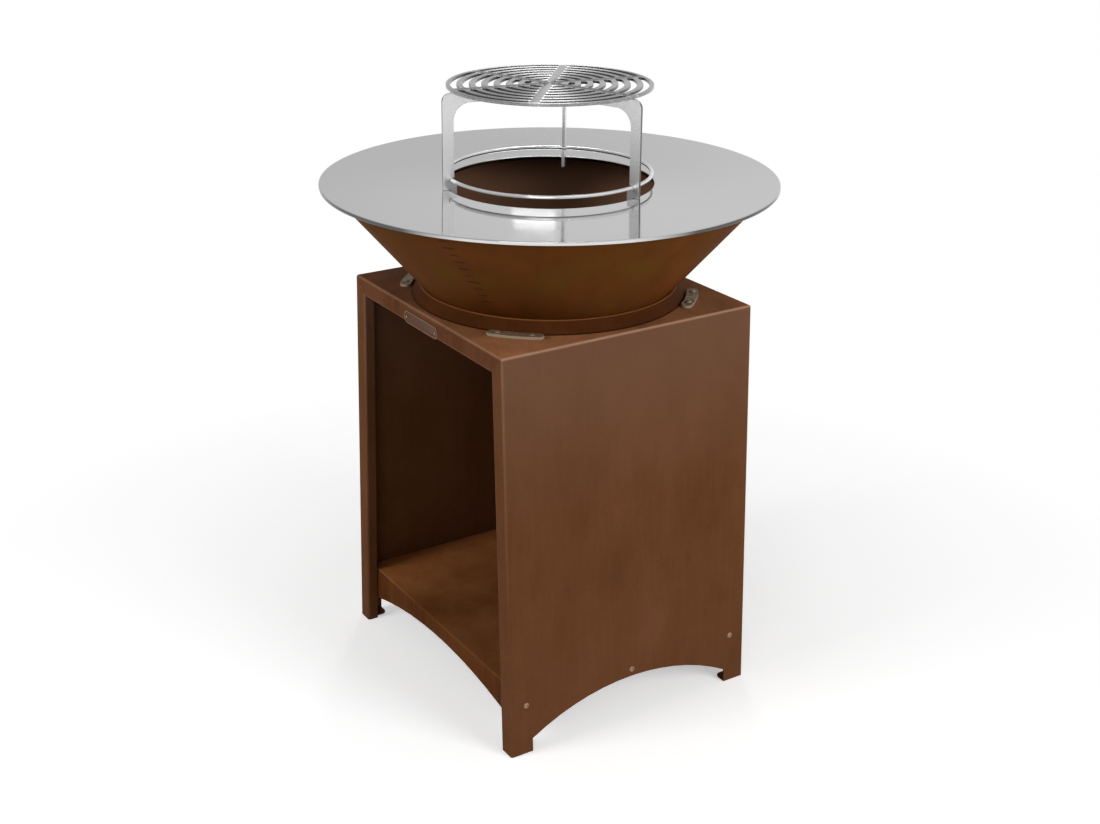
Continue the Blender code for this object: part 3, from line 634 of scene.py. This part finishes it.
def draw_line(points, closed=False):
    """Draws a line of edges by extruding one point from corner to corner, and leaves it in edit mode."""
    select_only(None)
    bpy.ops.mesh.primitive_plane_add(size=0.001, location=points[0])
    made = bpy.context.object
    edit_all()
    bpy.ops.mesh.merge(type="CENTER")
    for before, point in zip(points, points[1:]):
        step = Vector(point) - Vector(before)
        bpy.ops.mesh.extrude_region_move(TRANSFORM_OT_translate={"value": step})
    if closed:
        select_corners(made, [points[0], points[-1]])
        bpy.ops.mesh.edge_face_add()
    return made


def select_corners(made, places):
    """In edit mode, selects only the vertices that lie at the given places."""
    bpy.ops.mesh.select_mode(type="VERT")
    bpy.ops.mesh.select_all(action="DESELECT")
    drawn = bmesh.from_edit_mesh(made.data)
    origin = made.location
    for vert in drawn.verts:
        vert.select = any((vert.co + origin - Vector(place)).length < 1e-5 for place in places)
    drawn.select_flush(True)
    bmesh.update_edit_mesh(made.data)


def supported(points, closed, rounding):
    """Adds a point on each side of every rounded corner, which keeps the broad faces beside it flat."""
    line = []
    count = len(points)
    for i, point in enumerate(points):
        here = Vector(point)
        sides = []
        for step in (-1, 1):
            if not closed and not 0 <= i + step < count:
                continue
            other = Vector(points[(i + step) % count])
            reach = 2.5 * rounding.get(i, 0)
            room = (other - here).length - 2.5 * rounding.get((i + step) % count, 0)
            if i in rounding and reach < 0.9 * room:
                sides.append((step, here + (other - here).normalized() * reach))
        line += [tuple(place) for step, place in sides if step < 0]
        line.append(tuple(point))
        line += [tuple(place) for step, place in sides if step > 0]
    return line


def turn(points, closed, rounding, steps=None):
    """Turns (radius, height) points about the upright axis, with the chosen corners rounded first."""
    line = supported(points, closed, rounding)
    made = draw_line([(radius, 0, height) for radius, height in line], closed)
    for index, radius in rounding.items():
        select_corners(made, [(points[index][0], 0, points[index][1])])
        bpy.ops.mesh.bevel(offset=radius, segments=3, affect="VERTICES")
    bpy.ops.mesh.select_all(action="SELECT")
    spin_round(steps or settings().turning_steps)
    return made


def spin_round(steps):
    """Turns what is selected once about the upright axis, and leaves edit mode."""
    bpy.ops.mesh.spin(steps=steps, angle=2 * math.pi, center=(0, 0, 0), axis=(0, 0, 1))
    bpy.ops.object.mode_set(mode="OBJECT")


def copy_of(made, name, placement):
    """A copy with its own mesh, moved by a placement in the world that is applied at once."""
    again = made.copy()
    again.data = made.data.copy()
    again.name = again.data.name = name
    again.data.transform(made.matrix_world.inverted() @ placement @ made.matrix_world)
    bpy.context.scene.collection.objects.link(again)
    return again


def join(pieces):
    """Joins pieces into the first of them."""
    select_only(pieces[0])
    for piece in pieces:
        piece.select_set(True)
    bpy.ops.object.join()
    return bpy.context.object


def arc(centre, radius, start, sweep, stray=0.00003):
    """Points on an arc, ends included, that stray from it by no more than asked."""
    step = 2 * math.acos(max(0.0, 1 - stray / radius))
    steps = max(4, math.ceil(abs(sweep) / step))
    angles = [start + sweep * i / steps for i in range(steps + 1)]
    return [(centre[0] + radius * math.cos(a), centre[1] + radius * math.sin(a)) for a in angles]


def rounded(corners):
    """A closed outline from (x, y, radius) corners, each rounded by its radius where it has one."""
    outline = []
    for i, (x, y, radius) in enumerate(corners):
        corner = Vector((x, y))
        if not radius:
            outline.append((x, y))
            continue
        before = (Vector(corners[i - 1][:2]) - corner).normalized()
        after = (Vector(corners[(i + 1) % len(corners)][:2]) - corner).normalized()
        half = before.angle(after) / 2
        centre = corner + (before + after).normalized() * radius / math.sin(half)
        first = corner + before * radius / math.tan(half) - centre
        last = corner + after * radius / math.tan(half) - centre
        outline += arc(centre, radius, math.atan2(first.y, first.x), -first.angle_signed(last))
    return outline


def cut_plate(outlines, thickness, placement, edge=None):
    """A plate cut to flat outlines, the first its edge and the others holes, with its edges eased."""
    edge = settings().edge_rounding if edge is None else edge
    drawing = bpy.data.curves.new("cut plate", "CURVE")
    drawing.dimensions = "2D"
    drawing.fill_mode = "BOTH"
    drawing.extrude = thickness / 2 - edge
    drawing.bevel_depth = edge
    drawing.bevel_resolution = 1
    drawing.offset = -edge
    for outline in outlines:
        spline = drawing.splines.new("POLY")
        spline.points.add(len(outline) - 1)
        for point, (x, y) in zip(spline.points, outline):
            point.co = (x, y, 0, 1)
        spline.use_cyclic_u = True
    made = bpy.data.objects.new("cut plate", drawing)
    bpy.context.scene.collection.objects.link(made)
    made.matrix_world = placement
    select_only(made)
    bpy.ops.object.convert(target="MESH")
    return bpy.context.object


def frame_of(across, up, middle=(0, 0, 0)):
    """A placement whose local x runs along across and local y along up."""
    across, up = Vector(across).normalized(), Vector(up).normalized()
    turned = Matrix((across, up, across.cross(up))).transposed()
    return Matrix.Translation(middle) @ turned.to_4x4()


# Shapes that several pieces share


def plate_surface(radius):
    """Height of the hotplate's top, which slopes in to the hole."""
    slope = PLATE_DISH / (PLATE_HIGH.x - PLATE_HOLE_RADIUS)
    return PLATE_HIGH.z - slope * (PLATE_HIGH.x - radius)


def bowl_radius(height):
    """Outer radius of the bowl's cone at a height."""
    floor_radius = BOWL_SEAT_RADIUS - bowl_widening() * (SUPPORT_HIGH.z - BOWL_LOW.z)
    return floor_radius + bowl_widening() * (height - BOWL_LOW.z)


def bowl_widening():
    """How much the cone's radius grows for each metre up."""
    return (BOWL_HIGH.x - BOWL_SEAT_RADIUS) / (BOWL_HIGH.z - SUPPORT_HIGH.z)


def slot_outline(radius, middle):
    """A curved slot about the angle middle, which leaves half a web at each end."""
    round_end = SLOT_WIDTH / 2
    half = math.pi / WEBS - math.asin((WEB_WIDTH / 2 + round_end) / radius)
    low, high = middle - half, middle + half
    outer = arc((0, 0), radius + round_end, low, 2 * half)
    inner = arc((0, 0), radius - round_end, high, -2 * half)
    far_end = arc((radius * math.cos(high), radius * math.sin(high)), round_end, high, math.pi)
    near_end = arc((radius * math.cos(low), radius * math.sin(low)), round_end, low + math.pi, math.pi)
    return outer + far_end[1:-1] + inner + near_end[1:-1]


def leg_outline():
    """(radius, height) outline of a leg: foot, outer edge, arm, fillet, ring notch and locating tab."""
    hole_edge = plate_surface(PLATE_HOLE_RADIUS)
    top = GRATE_LOW.z - GAP
    ring = (ROD_LOW.z + ROD_HIGH.z) / 2
    notch_half = (ROD_HIGH.z - ROD_LOW.z) / 2 + GAP / 2
    notch = ROD_HIGH.x + GAP / 2
    inner = LEG_OUTER_RADIUS - LEG_WIDTH
    tab_outer = PLATE_HOLE_RADIUS - TAB_CLEARANCE
    tab_inner = tab_outer - TAB_WIDTH
    arm_tip = LEG_OUTER_RADIUS - ARM_REACH
    return rounded(
        [
            (tab_outer, plate_surface(tab_outer) + GAP, 0),
            (LEG_OUTER_RADIUS, plate_surface(LEG_OUTER_RADIUS) + GAP, 0),
            (LEG_OUTER_RADIUS, top, LEG_CORNER),
            (arm_tip, top, 0),
            (arm_tip, top - ARM_DEPTH, ARM_END_ROUNDING),
            (inner, top - ARM_DEPTH, LEG_FILLET),
            (inner, ring + notch_half, 0),
            (notch, ring + notch_half, 0),
            (notch, ring - notch_half, 0),
            (tab_inner, ring - notch_half, TAB_ROUNDING),
            (tab_inner, hole_edge - TAB_DEPTH, TAB_ROUNDING),
            (tab_outer, hole_edge - TAB_DEPTH, TAB_ROUNDING),
        ]
    )


def bracket_outline():
    """An arc-shaped strip about angle zero with fully rounded ends."""
    round_end = BRACKET_WIDTH / 2
    half = BRACKET_LENGTH / 2 / BRACKET_MIDDLE_RADIUS - math.asin(round_end / BRACKET_MIDDLE_RADIUS)
    ends = [(BRACKET_MIDDLE_RADIUS * math.cos(a), BRACKET_MIDDLE_RADIUS * math.sin(a)) for a in (half, -half)]
    outer = arc((0, 0), BRACKET_MIDDLE_RADIUS + round_end, -half, 2 * half)
    inner = arc((0, 0), BRACKET_MIDDLE_RADIUS - round_end, half, -2 * half)
    far_end = arc(ends[0], round_end, half, math.pi)
    near_end = arc(ends[1], round_end, math.pi - half, math.pi)
    return outer + far_end[1:-1] + inner + near_end[1:-1]


def centre_of(name):
    """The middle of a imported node's box."""
    low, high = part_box(name)
    return (low + high) / 2


def round_hole(centre, radius):
    """A circle as a closed outline."""
    return arc(centre, radius, 0, 2 * math.pi)[:-1]


def rod_section():
    """The trivet ring's rod: its radius, the radius of the ring's middle line and its height."""
    radius = (ROD_HIGH.z - ROD_LOW.z) / 2
    return radius, ROD_HIGH.x - radius, (ROD_LOW.z + ROD_HIGH.z) / 2


# Pieces


class GRILL_OT_cabinet(bpy.types.Operator):
    """Gives the folded cabinet, its shelf and its back their rusted finishes"""

    bl_idname = "grill.cabinet"
    bl_label = "Cabinet"

    def execute(self, context):
        keys = {
            "side_panel_left": "side",
            "side_panel_right": "side",
            "top_panel": "frame",
            "back_panel": "side",
            "shelf": "shelf",
        }
        for name, key in keys.items():
            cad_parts[name].material_slots[0].material = finish(key)
        return {"FINISHED"}


class GRILL_OT_support_ring(bpy.types.Operator):
    """Turns the low conical collar that the bowl stands in"""

    bl_idname = "grill.support_ring"
    bl_label = "Support ring"

    def execute(self, context):
        foot = SUPPORT_HIGH.x
        points = [
            (foot - SUPPORT_WALL, SUPPORT_LOW.z),
            (foot, SUPPORT_LOW.z),
            (SUPPORT_TOP_RADIUS, SUPPORT_HIGH.z),
            (SUPPORT_TOP_RADIUS - SUPPORT_WALL, SUPPORT_HIGH.z),
        ]
        made = turn(points, True, {2: 0.0008, 3: 0.0008})
        settle(made, "collar", "collar", "support_ring", ["support_ring"])
        return {"FINISHED"}


class GRILL_OT_fire_bowl(bpy.types.Operator):
    """Turns the conical fire bowl and sets the forming marks along its seam"""

    bl_idname = "grill.fire_bowl"
    bl_label = "Fire bowl"

    def execute(self, context):
        floor, rim = BOWL_LOW.z, BOWL_HIGH.z
        wall = BOWL_WALL * math.hypot(1, bowl_widening())
        inner_floor = floor + BOWL_WALL
        points = [
            (0, floor),
            (bowl_radius(floor), floor),
            (BOWL_HIGH.x, rim),
            (BOWL_HIGH.x - wall, rim),
            (bowl_radius(inner_floor) - wall, inner_floor),
            (0, inner_floor),
        ]
        made = turn(points, False, {1: 0.002, 2: 0.0008, 3: 0.0008, 4: 0.003})
        settle(made, "bowl", "bowl", "fire_bowl", ["fire_bowl"], 50)
        self.add_seam_marks()
        return {"FINISHED"}

    def add_seam_marks(self):
        """Short dark dents where the cone's edges were rolled together, from the rim nearly to the foot."""
        count = settings().seam_marks
        marks = [self.add_mark(i, i / max(1, count - 1)) for i in range(count)]
        if marks:
            made = join(marks)
            settle(made, "bowl_seam_marks", "mark", "fire_bowl")

    def add_mark(self, index, share_down):
        """One dent at its share of the way down the seam, with a length and a tilt of its own."""
        height = FIRST_MARK_HEIGHT + (LAST_MARK_HEIGHT - FIRST_MARK_HEIGHT) * share_down
        angle = math.radians(FIRST_MARK_ANGLE + (LAST_MARK_ANGLE - FIRST_MARK_ANGLE) * share_down)
        # No two neighbours are alike
        half_length = MARK_HALF_LENGTH + 0.002 * math.sin(2.3 * index)
        tilt = 0.12 * math.sin(1.7 * index)
        select_only(None)
        bpy.ops.mesh.primitive_cylinder_add(vertices=20, radius=1, depth=1)
        mark = bpy.context.object
        edit_all()
        bpy.ops.transform.resize(value=(MARK_HALF_WIDTH, half_length, MARK_THICKNESS))
        bpy.ops.mesh.bevel(offset=0.00012, segments=2)
        bpy.ops.object.mode_set(mode="OBJECT")
        lean = math.atan(bowl_widening())
        level = Vector((math.cos(angle), math.sin(angle), 0))
        outward = level * math.cos(lean) - Vector((0, 0, math.sin(lean)))
        along = Vector((-level.y, level.x, tilt))
        across = along.cross(outward).normalized()
        place = level * bowl_radius(height) + Vector((0, 0, height))
        mark.matrix_world = frame_of(across, outward.cross(across), place)
        select_only(mark)
        bpy.ops.object.transform_apply()
        return mark


class GRILL_OT_hotplate(bpy.types.Operator):
    """Turns the hotplate, dished a little towards its hole, with rounded edges"""

    bl_idname = "grill.hotplate"
    bl_label = "Hotplate"

    def execute(self, context):
        rim, hole = PLATE_HIGH.x, PLATE_HOLE_RADIUS
        points = [
            (hole, plate_surface(hole) - PLATE_THICKNESS),
            (rim, plate_surface(rim) - PLATE_THICKNESS),
            (rim, plate_surface(rim)),
            (hole, plate_surface(hole)),
        ]
        made = turn(points, True, {1: 0.0012, 2: 0.0012, 3: 0.001})
        settle(made, "cooking_plate", "plate", "hotplate", ["hotplate"])
        return {"FINISHED"}


class GRILL_OT_trivet(bpy.types.Operator):
    """Makes the trivet: the rod ring, three flat legs and the beads that weld them together"""

    bl_idname = "grill.trivet"
    bl_label = "Trivet"

    def execute(self, context):
        self.add_ring()
        self.add_legs()
        self.add_beads()
        return {"FINISHED"}

    def add_ring(self):
        """The ring that lies inside the plate's hole: a circle of the rod's section, spun round."""
        rod, radius, height = rod_section()
        select_only(None)
        bpy.ops.mesh.primitive_circle_add(
            vertices=16, radius=rod, location=(radius, 0, height), rotation=(math.pi / 2, 0, 0)
        )
        made = bpy.context.object
        bpy.ops.object.transform_apply()
        edit_all()
        spin_round(settings().turning_steps)
        settle(made, "locating_ring", "rod", "trivet", ["trivet_ring"], 80)

    def add_legs(self):
        """Three legs cut from flat plate, each standing on the hotplate at the edge of its hole."""
        for i in range(LEGS):
            angle = FIRST_LEG_ANGLE + 2 * math.pi * i / LEGS
            placement = frame_of((math.cos(angle), math.sin(angle), 0), (0, 0, 1))
            made = cut_plate([leg_outline()], LEG_THICKNESS, placement)
            nodes = [f"trivet_leg_{i + 1}"]
            settle(made, f"leg_{i + 1}", "leg", "trivet", nodes, FLAT_PLATE_ANGLE)

    def add_beads(self):
        """Four small weld beads where each leg holds the ring."""
        rod, radius, height = rod_section()
        corners = [(side, rise) for side in (-1, 1) for rise in (-1, 1)]
        for i in range(LEGS):
            beads = []
            for side, rise in corners:
                place = (radius + 0.001, side * LEG_THICKNESS / 2, height + rise * rod * 0.75)
                beads.append(self.add_bead(place))
            made = join(beads)
            bpy.ops.object.transform_apply()
            angle = FIRST_LEG_ANGLE + 2 * math.pi * i / LEGS
            made.data.transform(Matrix.Rotation(angle, 4, "Z"))
            settle(made, f"weld_beads_{i + 1}", "rod", "trivet", angle=80)

    def add_bead(self, place):
        """One small lump of weld, drawn out along the ring's radius."""
        select_only(None)
        bpy.ops.mesh.primitive_ico_sphere_add(subdivisions=3, radius=BEAD_RADIUS, location=place)
        edit_all()
        bpy.ops.transform.resize(value=BEAD_STRETCH)
        bpy.ops.mesh.vertices_smooth(factor=0.4)
        bpy.ops.object.mode_set(mode="OBJECT")
        return bpy.context.object


class GRILL_OT_grate(bpy.types.Operator):
    """Cuts the grate from plate, with rows of curved slots between radial webs"""

    bl_idname = "grill.grate"
    bl_label = "Grate"

    def execute(self, context):
        outlines = [round_hole((0, 0), GRATE_RADIUS)]
        first_row = GRATE_RADIUS - GRATE_RIM - SLOT_WIDTH / 2
        for gap in range(WEBS):
            middle = FIRST_LEG_ANGLE + 2 * math.pi * (gap + 0.5) / WEBS
            for row in range(SLOT_ROWS):
                outlines.append(slot_outline(first_row - SLOT_PITCH * row, middle))
            hole = (CENTRE_HOLE_CIRCLE * math.cos(middle), CENTRE_HOLE_CIRCLE * math.sin(middle))
            outlines.append(round_hole(hole, CENTRE_HOLE_RADIUS))
        thickness = GRATE_HIGH.z - GRATE_LOW.z
        placement = Matrix.Translation((0, 0, (GRATE_LOW.z + GRATE_HIGH.z) / 2))
        made = cut_plate(outlines, thickness, placement, 0.0008)
        settle(made, "slotted_grate", "grate", "grate", ["grill_grate"], FLAT_PLATE_ANGLE)
        return {"FINISHED"}


class GRILL_OT_brackets(bpy.types.Operator):
    """Cuts the arc brackets round the support ring and sets their socket screws"""

    bl_idname = "grill.brackets"
    bl_label = "Arc brackets"

    def execute(self, context):
        half = BRACKET_HOLE_SPACING / 2 / BRACKET_MIDDLE_RADIUS
        holes = []
        for angle in (-half, half):
            centre = (BRACKET_MIDDLE_RADIUS * math.cos(angle), BRACKET_MIDDLE_RADIUS * math.sin(angle))
            holes.append(round_hole(centre, BRACKET_HOLE_RADIUS))
        lift = CABINET_HEIGHT + GAP + BRACKET_THICKNESS / 2
        for i in range(BRACKETS):
            angle = FIRST_BRACKET_ANGLE + 2 * math.pi * i / BRACKETS
            placement = Matrix.Translation((0, 0, lift)) @ Matrix.Rotation(angle, 4, "Z")
            made = cut_plate([bracket_outline()] + holes, BRACKET_THICKNESS, placement)
            nodes = [f"arc_bracket_{i + 1}"]
            settle(made, f"bracket_{i + 1}", "bracket", "cabinet", nodes, FLAT_PLATE_ANGLE)
        self.add_screws()
        return {"FINISHED"}

    def add_screws(self):
        """Button heads with a hexagon socket, turned once and copied to each screw's place."""
        low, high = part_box("bracket_screw_1")
        seat = CABINET_HEIGHT + BRACKET_THICKNESS + 2 * GAP
        points = [
            (0, low.z),
            (SCREW_RADIUS, low.z),
            (SCREW_RADIUS, seat),
            (SCREW_HEAD_RADIUS, seat),
            (SCREW_HEAD_RADIUS, seat + SCREW_RIM_HEIGHT),
            (SCREW_HEAD_RADIUS * 0.55, high.z - 0.0001),
            (0, high.z),
        ]
        first = turn(points, False, {1: 0.0006, 4: 0.0004, 5: 0.0008}, FASTENER_STEPS)
        self.cut_socket(first, high.z)
        for i in range(2 * BRACKETS):
            node_name = f"bracket_screw_{i + 1}"
            centre = centre_of(node_name)
            # The screws stop at different turns
            placement = Matrix.Translation((centre.x, centre.y, 0)) @ Matrix.Rotation(0.7 * i, 4, "Z")
            made = copy_of(first, f"screw_{i + 1}", placement)
            settle(made, f"screw_{i + 1}", "screw", "cabinet", [node_name])
        bpy.data.objects.remove(first)

    def cut_socket(self, screw, top):
        """Cuts the hexagon socket into the screw's head."""
        select_only(None)
        bpy.ops.mesh.primitive_cylinder_add(
            vertices=6, radius=SOCKET_RADIUS, depth=2 * SOCKET_DEPTH, location=(0, 0, top)
        )
        socket = bpy.context.object
        select_only(screw)
        close_mesh()
        cut = screw.modifiers.new("socket", "BOOLEAN")
        cut.object = socket
        cut.solver = "EXACT"
        bpy.ops.object.modifier_apply(modifier=cut.name)
        bpy.data.objects.remove(socket)


class GRILL_OT_rivets(bpy.types.Operator):
    """Turns a blind rivet and sets one in each hole of the side panels"""

    bl_idname = "grill.rivets"
    bl_label = "Shelf rivets"

    def execute(self, context):
        crown = GAP + RIVET_HEAD_HEIGHT
        tail_end = -RIVET_REACH - RIVET_TAIL_LENGTH
        points = [
            (0, GAP + RIVET_HEAD_HEIGHT * 0.25),
            (0.0015, GAP + RIVET_HEAD_HEIGHT * 0.25),
            (0.0016, crown),
            (0.0036, GAP + RIVET_HEAD_HEIGHT * 0.85),
            (RIVET_HEAD_RADIUS, GAP),
            (RIVET_SHANK_RADIUS, GAP),
            (RIVET_SHANK_RADIUS, -RIVET_REACH),
            (RIVET_TAIL_RADIUS, -RIVET_REACH),
            (RIVET_TAIL_RADIUS, tail_end),
            (0, tail_end),
        ]
        first = turn(points, False, {2: 0.0002, 3: 0.0008, 7: 0.0005, 8: 0.001}, FASTENER_STEPS)
        lean = math.atan2(CABINET_FLARE, CABINET_HEIGHT)
        surface = CABINET_HALF_WIDTH + CABINET_FLARE * (1 - RIVET_HEIGHT / CABINET_HEIGHT)
        for side, word in ((-1, "left"), (1, "right")):
            outward = Vector((side * math.cos(lean), 0, math.sin(lean)))
            across = Vector((0, side, 0))
            for i in range(RIVETS_PER_SIDE):
                node_name = f"shelf_rivet_{word}_{i + 1}"
                place = (side * surface, centre_of(node_name).y, RIVET_HEIGHT)
                placement = frame_of(across, outward.cross(across), place)
                made = copy_of(first, f"rivet_{word}_{i + 1}", placement)
                settle(made, f"rivet_{word}_{i + 1}", "rivet", "cabinet", [node_name])
        bpy.data.objects.remove(first)
        return {"FINISHED"}


class GRILL_OT_badge(bpy.types.Operator):
    """Presses the bare plate on the front rail and its two rivets"""

    bl_idname = "grill.badge"
    bl_label = "Bare plate"

    def execute(self, context):
        values = settings()
        select_only(None)
        bpy.ops.mesh.primitive_plane_add(size=1, location=BADGE_MIDDLE, rotation=(math.pi / 2, 0, 0))
        made = bpy.context.object
        made.scale = (values.badge_width, values.badge_height, 1)
        bpy.ops.object.transform_apply(location=False, rotation=False, scale=True)
        edit_all()
        bpy.ops.mesh.bevel(offset=values.badge_height * 0.49, segments=8, affect="VERTICES")
        bpy.ops.mesh.select_all(action="SELECT")
        bpy.ops.mesh.extrude_region_move(TRANSFORM_OT_translate={"value": (0, -BADGE_THICKNESS, 0)})
        bpy.ops.mesh.inset(thickness=BADGE_BORDER)
        bpy.ops.mesh.inset(thickness=BADGE_STEP)
        bpy.ops.transform.translate(value=(0, BADGE_RECESS, 0))
        bpy.ops.mesh.select_all(action="SELECT")
        bpy.ops.mesh.normals_make_consistent(inside=False)
        bpy.ops.object.mode_set(mode="OBJECT")
        ease = made.modifiers.new("ease", "BEVEL")
        ease.width = 0.0002
        ease.segments = 2
        ease.limit_method = "ANGLE"
        bpy.ops.object.modifier_apply(modifier=ease.name)
        settle(made, "bare_plate", "badge", "cabinet")
        reach = values.badge_width / 2 * BADGE_RIVET_SHARE
        for side, word in ((-1, "left"), (1, "right")):
            self.add_plate_rivet(Vector(BADGE_MIDDLE) + Vector((side * reach, -BADGE_THICKNESS, 0)), word)
        return {"FINISHED"}

    def add_plate_rivet(self, place, word):
        """A low domed rivet head."""
        select_only(None)
        bpy.ops.mesh.primitive_uv_sphere_add(
            segments=24, ring_count=12, radius=BADGE_RIVET_RADIUS, location=place
        )
        made = bpy.context.object
        edit_all()
        bpy.ops.transform.resize(value=(1, 0.55, 1))
        bpy.ops.object.mode_set(mode="OBJECT")
        settle(made, f"bare_plate_rivet_{word}", "rivet", "cabinet", angle=80)


class GRILL_OT_stage(bpy.types.Operator):
    """Sets up the pale floor, the even room light, the softboxes and the camera"""

    bl_idname = "grill.stage"
    bl_label = "Studio"

    def execute(self, context):
        self.add_floor()
        self.light_room()
        values = settings()
        for name, place, aim, width, height, share, in_metal in SOFTBOXES:
            self.add_softbox(name, place, aim, (width, height), values.lamp_power * share, in_metal)
        self.add_camera()
        return {"FINISHED"}

    def add_floor(self):
        """A matt white floor that shows white to the camera and still takes the grill's shadow."""
        select_only(None)
        bpy.ops.mesh.primitive_plane_add(size=30, location=(0, 0, -0.0005))
        floor = bpy.context.object
        floor.name = "floor"
        made, tree, shader, place = new_finish("white studio floor")
        shader.inputs["Base Color"].default_value = grey(0.86)
        shader.inputs["Roughness"].default_value = 0.9
        glow = node(tree, "Emission", {"Color": grey(1.0), "Strength": 0.42})
        near = node(tree, "AddShader", {0: shader.outputs[0], 1: glow.outputs[0]})
        # Past the reach of the shadow the floor is plain white
        distance = node(tree, "VectorMath", {0: place}, operation="LENGTH").outputs["Value"]
        far = node(tree, "Emission", {"Color": grey(1.0), "Strength": 1.0})
        shown = {0: share(tree, distance, (0.5, 1.4)), 1: near.outputs[0], 2: far.outputs[0]}
        shown = node(tree, "MixShader", shown)
        rays = node(tree, "LightPath").outputs
        seen = rays["Is Camera Ray"]
        for kind in ("Is Glossy Ray", "Is Transmission Ray"):
            seen = node(tree, "Math", {0: seen, 1: rays[kind]}, operation="MAXIMUM").outputs[0]
        floor_look = node(tree, "MixShader", {0: seen, 1: shader.outputs[0], 2: shown.outputs[0]})
        tree.links.new(floor_look.outputs[0], tree.nodes["Material Output"].inputs["Surface"])
        floor.data.materials.append(made)

    def light_room(self):
        """Even light from all round, and plain white where the camera or a mirror sees the room."""
        world = bpy.data.worlds.new("studio")
        bpy.context.scene.world = world
        world.use_nodes = True
        tree = world.node_tree
        tree.nodes.clear()
        rays = node(tree, "LightPath").outputs
        direct = {0: rays["Is Camera Ray"], 1: rays["Is Transmission Ray"]}
        direct = node(tree, "Math", direct, operation="MAXIMUM")
        light = node(tree, "Background", {"Color": grey(1.0), "Strength": settings().daylight})
        white = node(tree, "Background", {"Color": grey(1.0), "Strength": 1.0})
        mirror = node(tree, "Background", {"Color": self.room_seen_in_metal(tree), "Strength": 1.0})
        room = {0: rays["Is Glossy Ray"], 1: light.outputs[0], 2: mirror.outputs[0]}
        room = node(tree, "MixShader", room)
        room = node(tree, "MixShader", {0: direct.outputs[0], 1: room.outputs[0], 2: white.outputs[0]})
        node(tree, "OutputWorld", {"Surface": room.outputs[0]})

    def room_seen_in_metal(self, tree):
        """The room as metal shows it: pale walls, paler to the right, a darker band and a pale ceiling."""
        direction = node(tree, "TexCoord").outputs["Generated"]
        height = node(tree, "SeparateXYZ", {"Vector": direction}).outputs["Z"]
        walls = shades(tree, height, [(level, grey(pale)) for level, pale in ROOM_WALLS])
        right = Vector((-CAMERA_PLACE[1], CAMERA_PLACE[0], 0)).normalized()
        inputs = {0: direction, 1: right}
        sideways = node(tree, "VectorMath", inputs, operation="DOT_PRODUCT").outputs["Value"]
        inputs = {0: 1.0, 6: walls, 7: share(tree, sideways, (-0.35, 0.35), (0.8, 1.25))}
        return node(tree, "Mix", inputs, data_type="RGBA", blend_type="MULTIPLY").outputs[2]

    def add_softbox(self, name, place, aim, size, power, in_metal):
        lamp = bpy.data.lights.new(name, "AREA")
        lamp.shape = "RECTANGLE"
        lamp.size, lamp.size_y = size
        lamp.energy = power
        made = bpy.data.objects.new(name, lamp)
        made.location = place
        made.rotation_euler = (Vector(aim) - Vector(place)).to_track_quat("-Z", "Y").to_euler()
        made.visible_camera = False
        made.visible_glossy = in_metal
        bpy.context.scene.collection.objects.link(made)

    def add_camera(self):
        lens = bpy.data.cameras.new("camera")
        lens.sensor_fit = "HORIZONTAL"
        lens.sensor_width = SENSOR
        lens.lens = CAMERA_FOCAL_PIXELS / IMAGE_WIDTH * SENSOR
        lens.shift_x, lens.shift_y = CAMERA_SHIFT
        made = bpy.data.objects.new("camera", lens)
        made.location = CAMERA_PLACE
        made.rotation_euler = CAMERA_TURN
        bpy.context.scene.collection.objects.link(made)
        scene = bpy.context.scene
        scene.camera = made
        scene.view_settings.view_transform = "Standard"


class GRILL_PT_panel(bpy.types.Panel):
    """Lists the grill's settings and the steps that dress it"""

    bl_idname = "GRILL_PT_panel"
    bl_label = "Barbecue grill"
    bl_space_type = "VIEW_3D"
    bl_region_type = "UI"
    bl_category = "Grill"

    def draw(self, context):
        column = self.layout.column()
        for name in GrillSettings.__annotations__:
            column.prop(context.scene.grill_settings, name)
        for step in STEPS:
            column.operator(step.bl_idname)


STEPS = (
    GRILL_OT_cabinet,
    GRILL_OT_support_ring,
    GRILL_OT_fire_bowl,
    GRILL_OT_hotplate,
    GRILL_OT_trivet,
    GRILL_OT_grate,
    GRILL_OT_brackets,
    GRILL_OT_rivets,
    GRILL_OT_badge,
    GRILL_OT_stage,
)
CLASSES = (GrillSettings, *STEPS, GRILL_PT_panel)


def register():
    for item in CLASSES:
        bpy.utils.register_class(item)
    bpy.types.Scene.grill_settings = PointerProperty(type=GrillSettings)


def unregister():
    del bpy.types.Scene.grill_settings
    for item in reversed(CLASSES):
        bpy.utils.unregister_class(item)


def main():
    register()
    for step in STEPS:
        group, name = step.bl_idname.split(".")
        getattr(getattr(bpy.ops, group), name)()


if __name__ == "__main__":
    main()
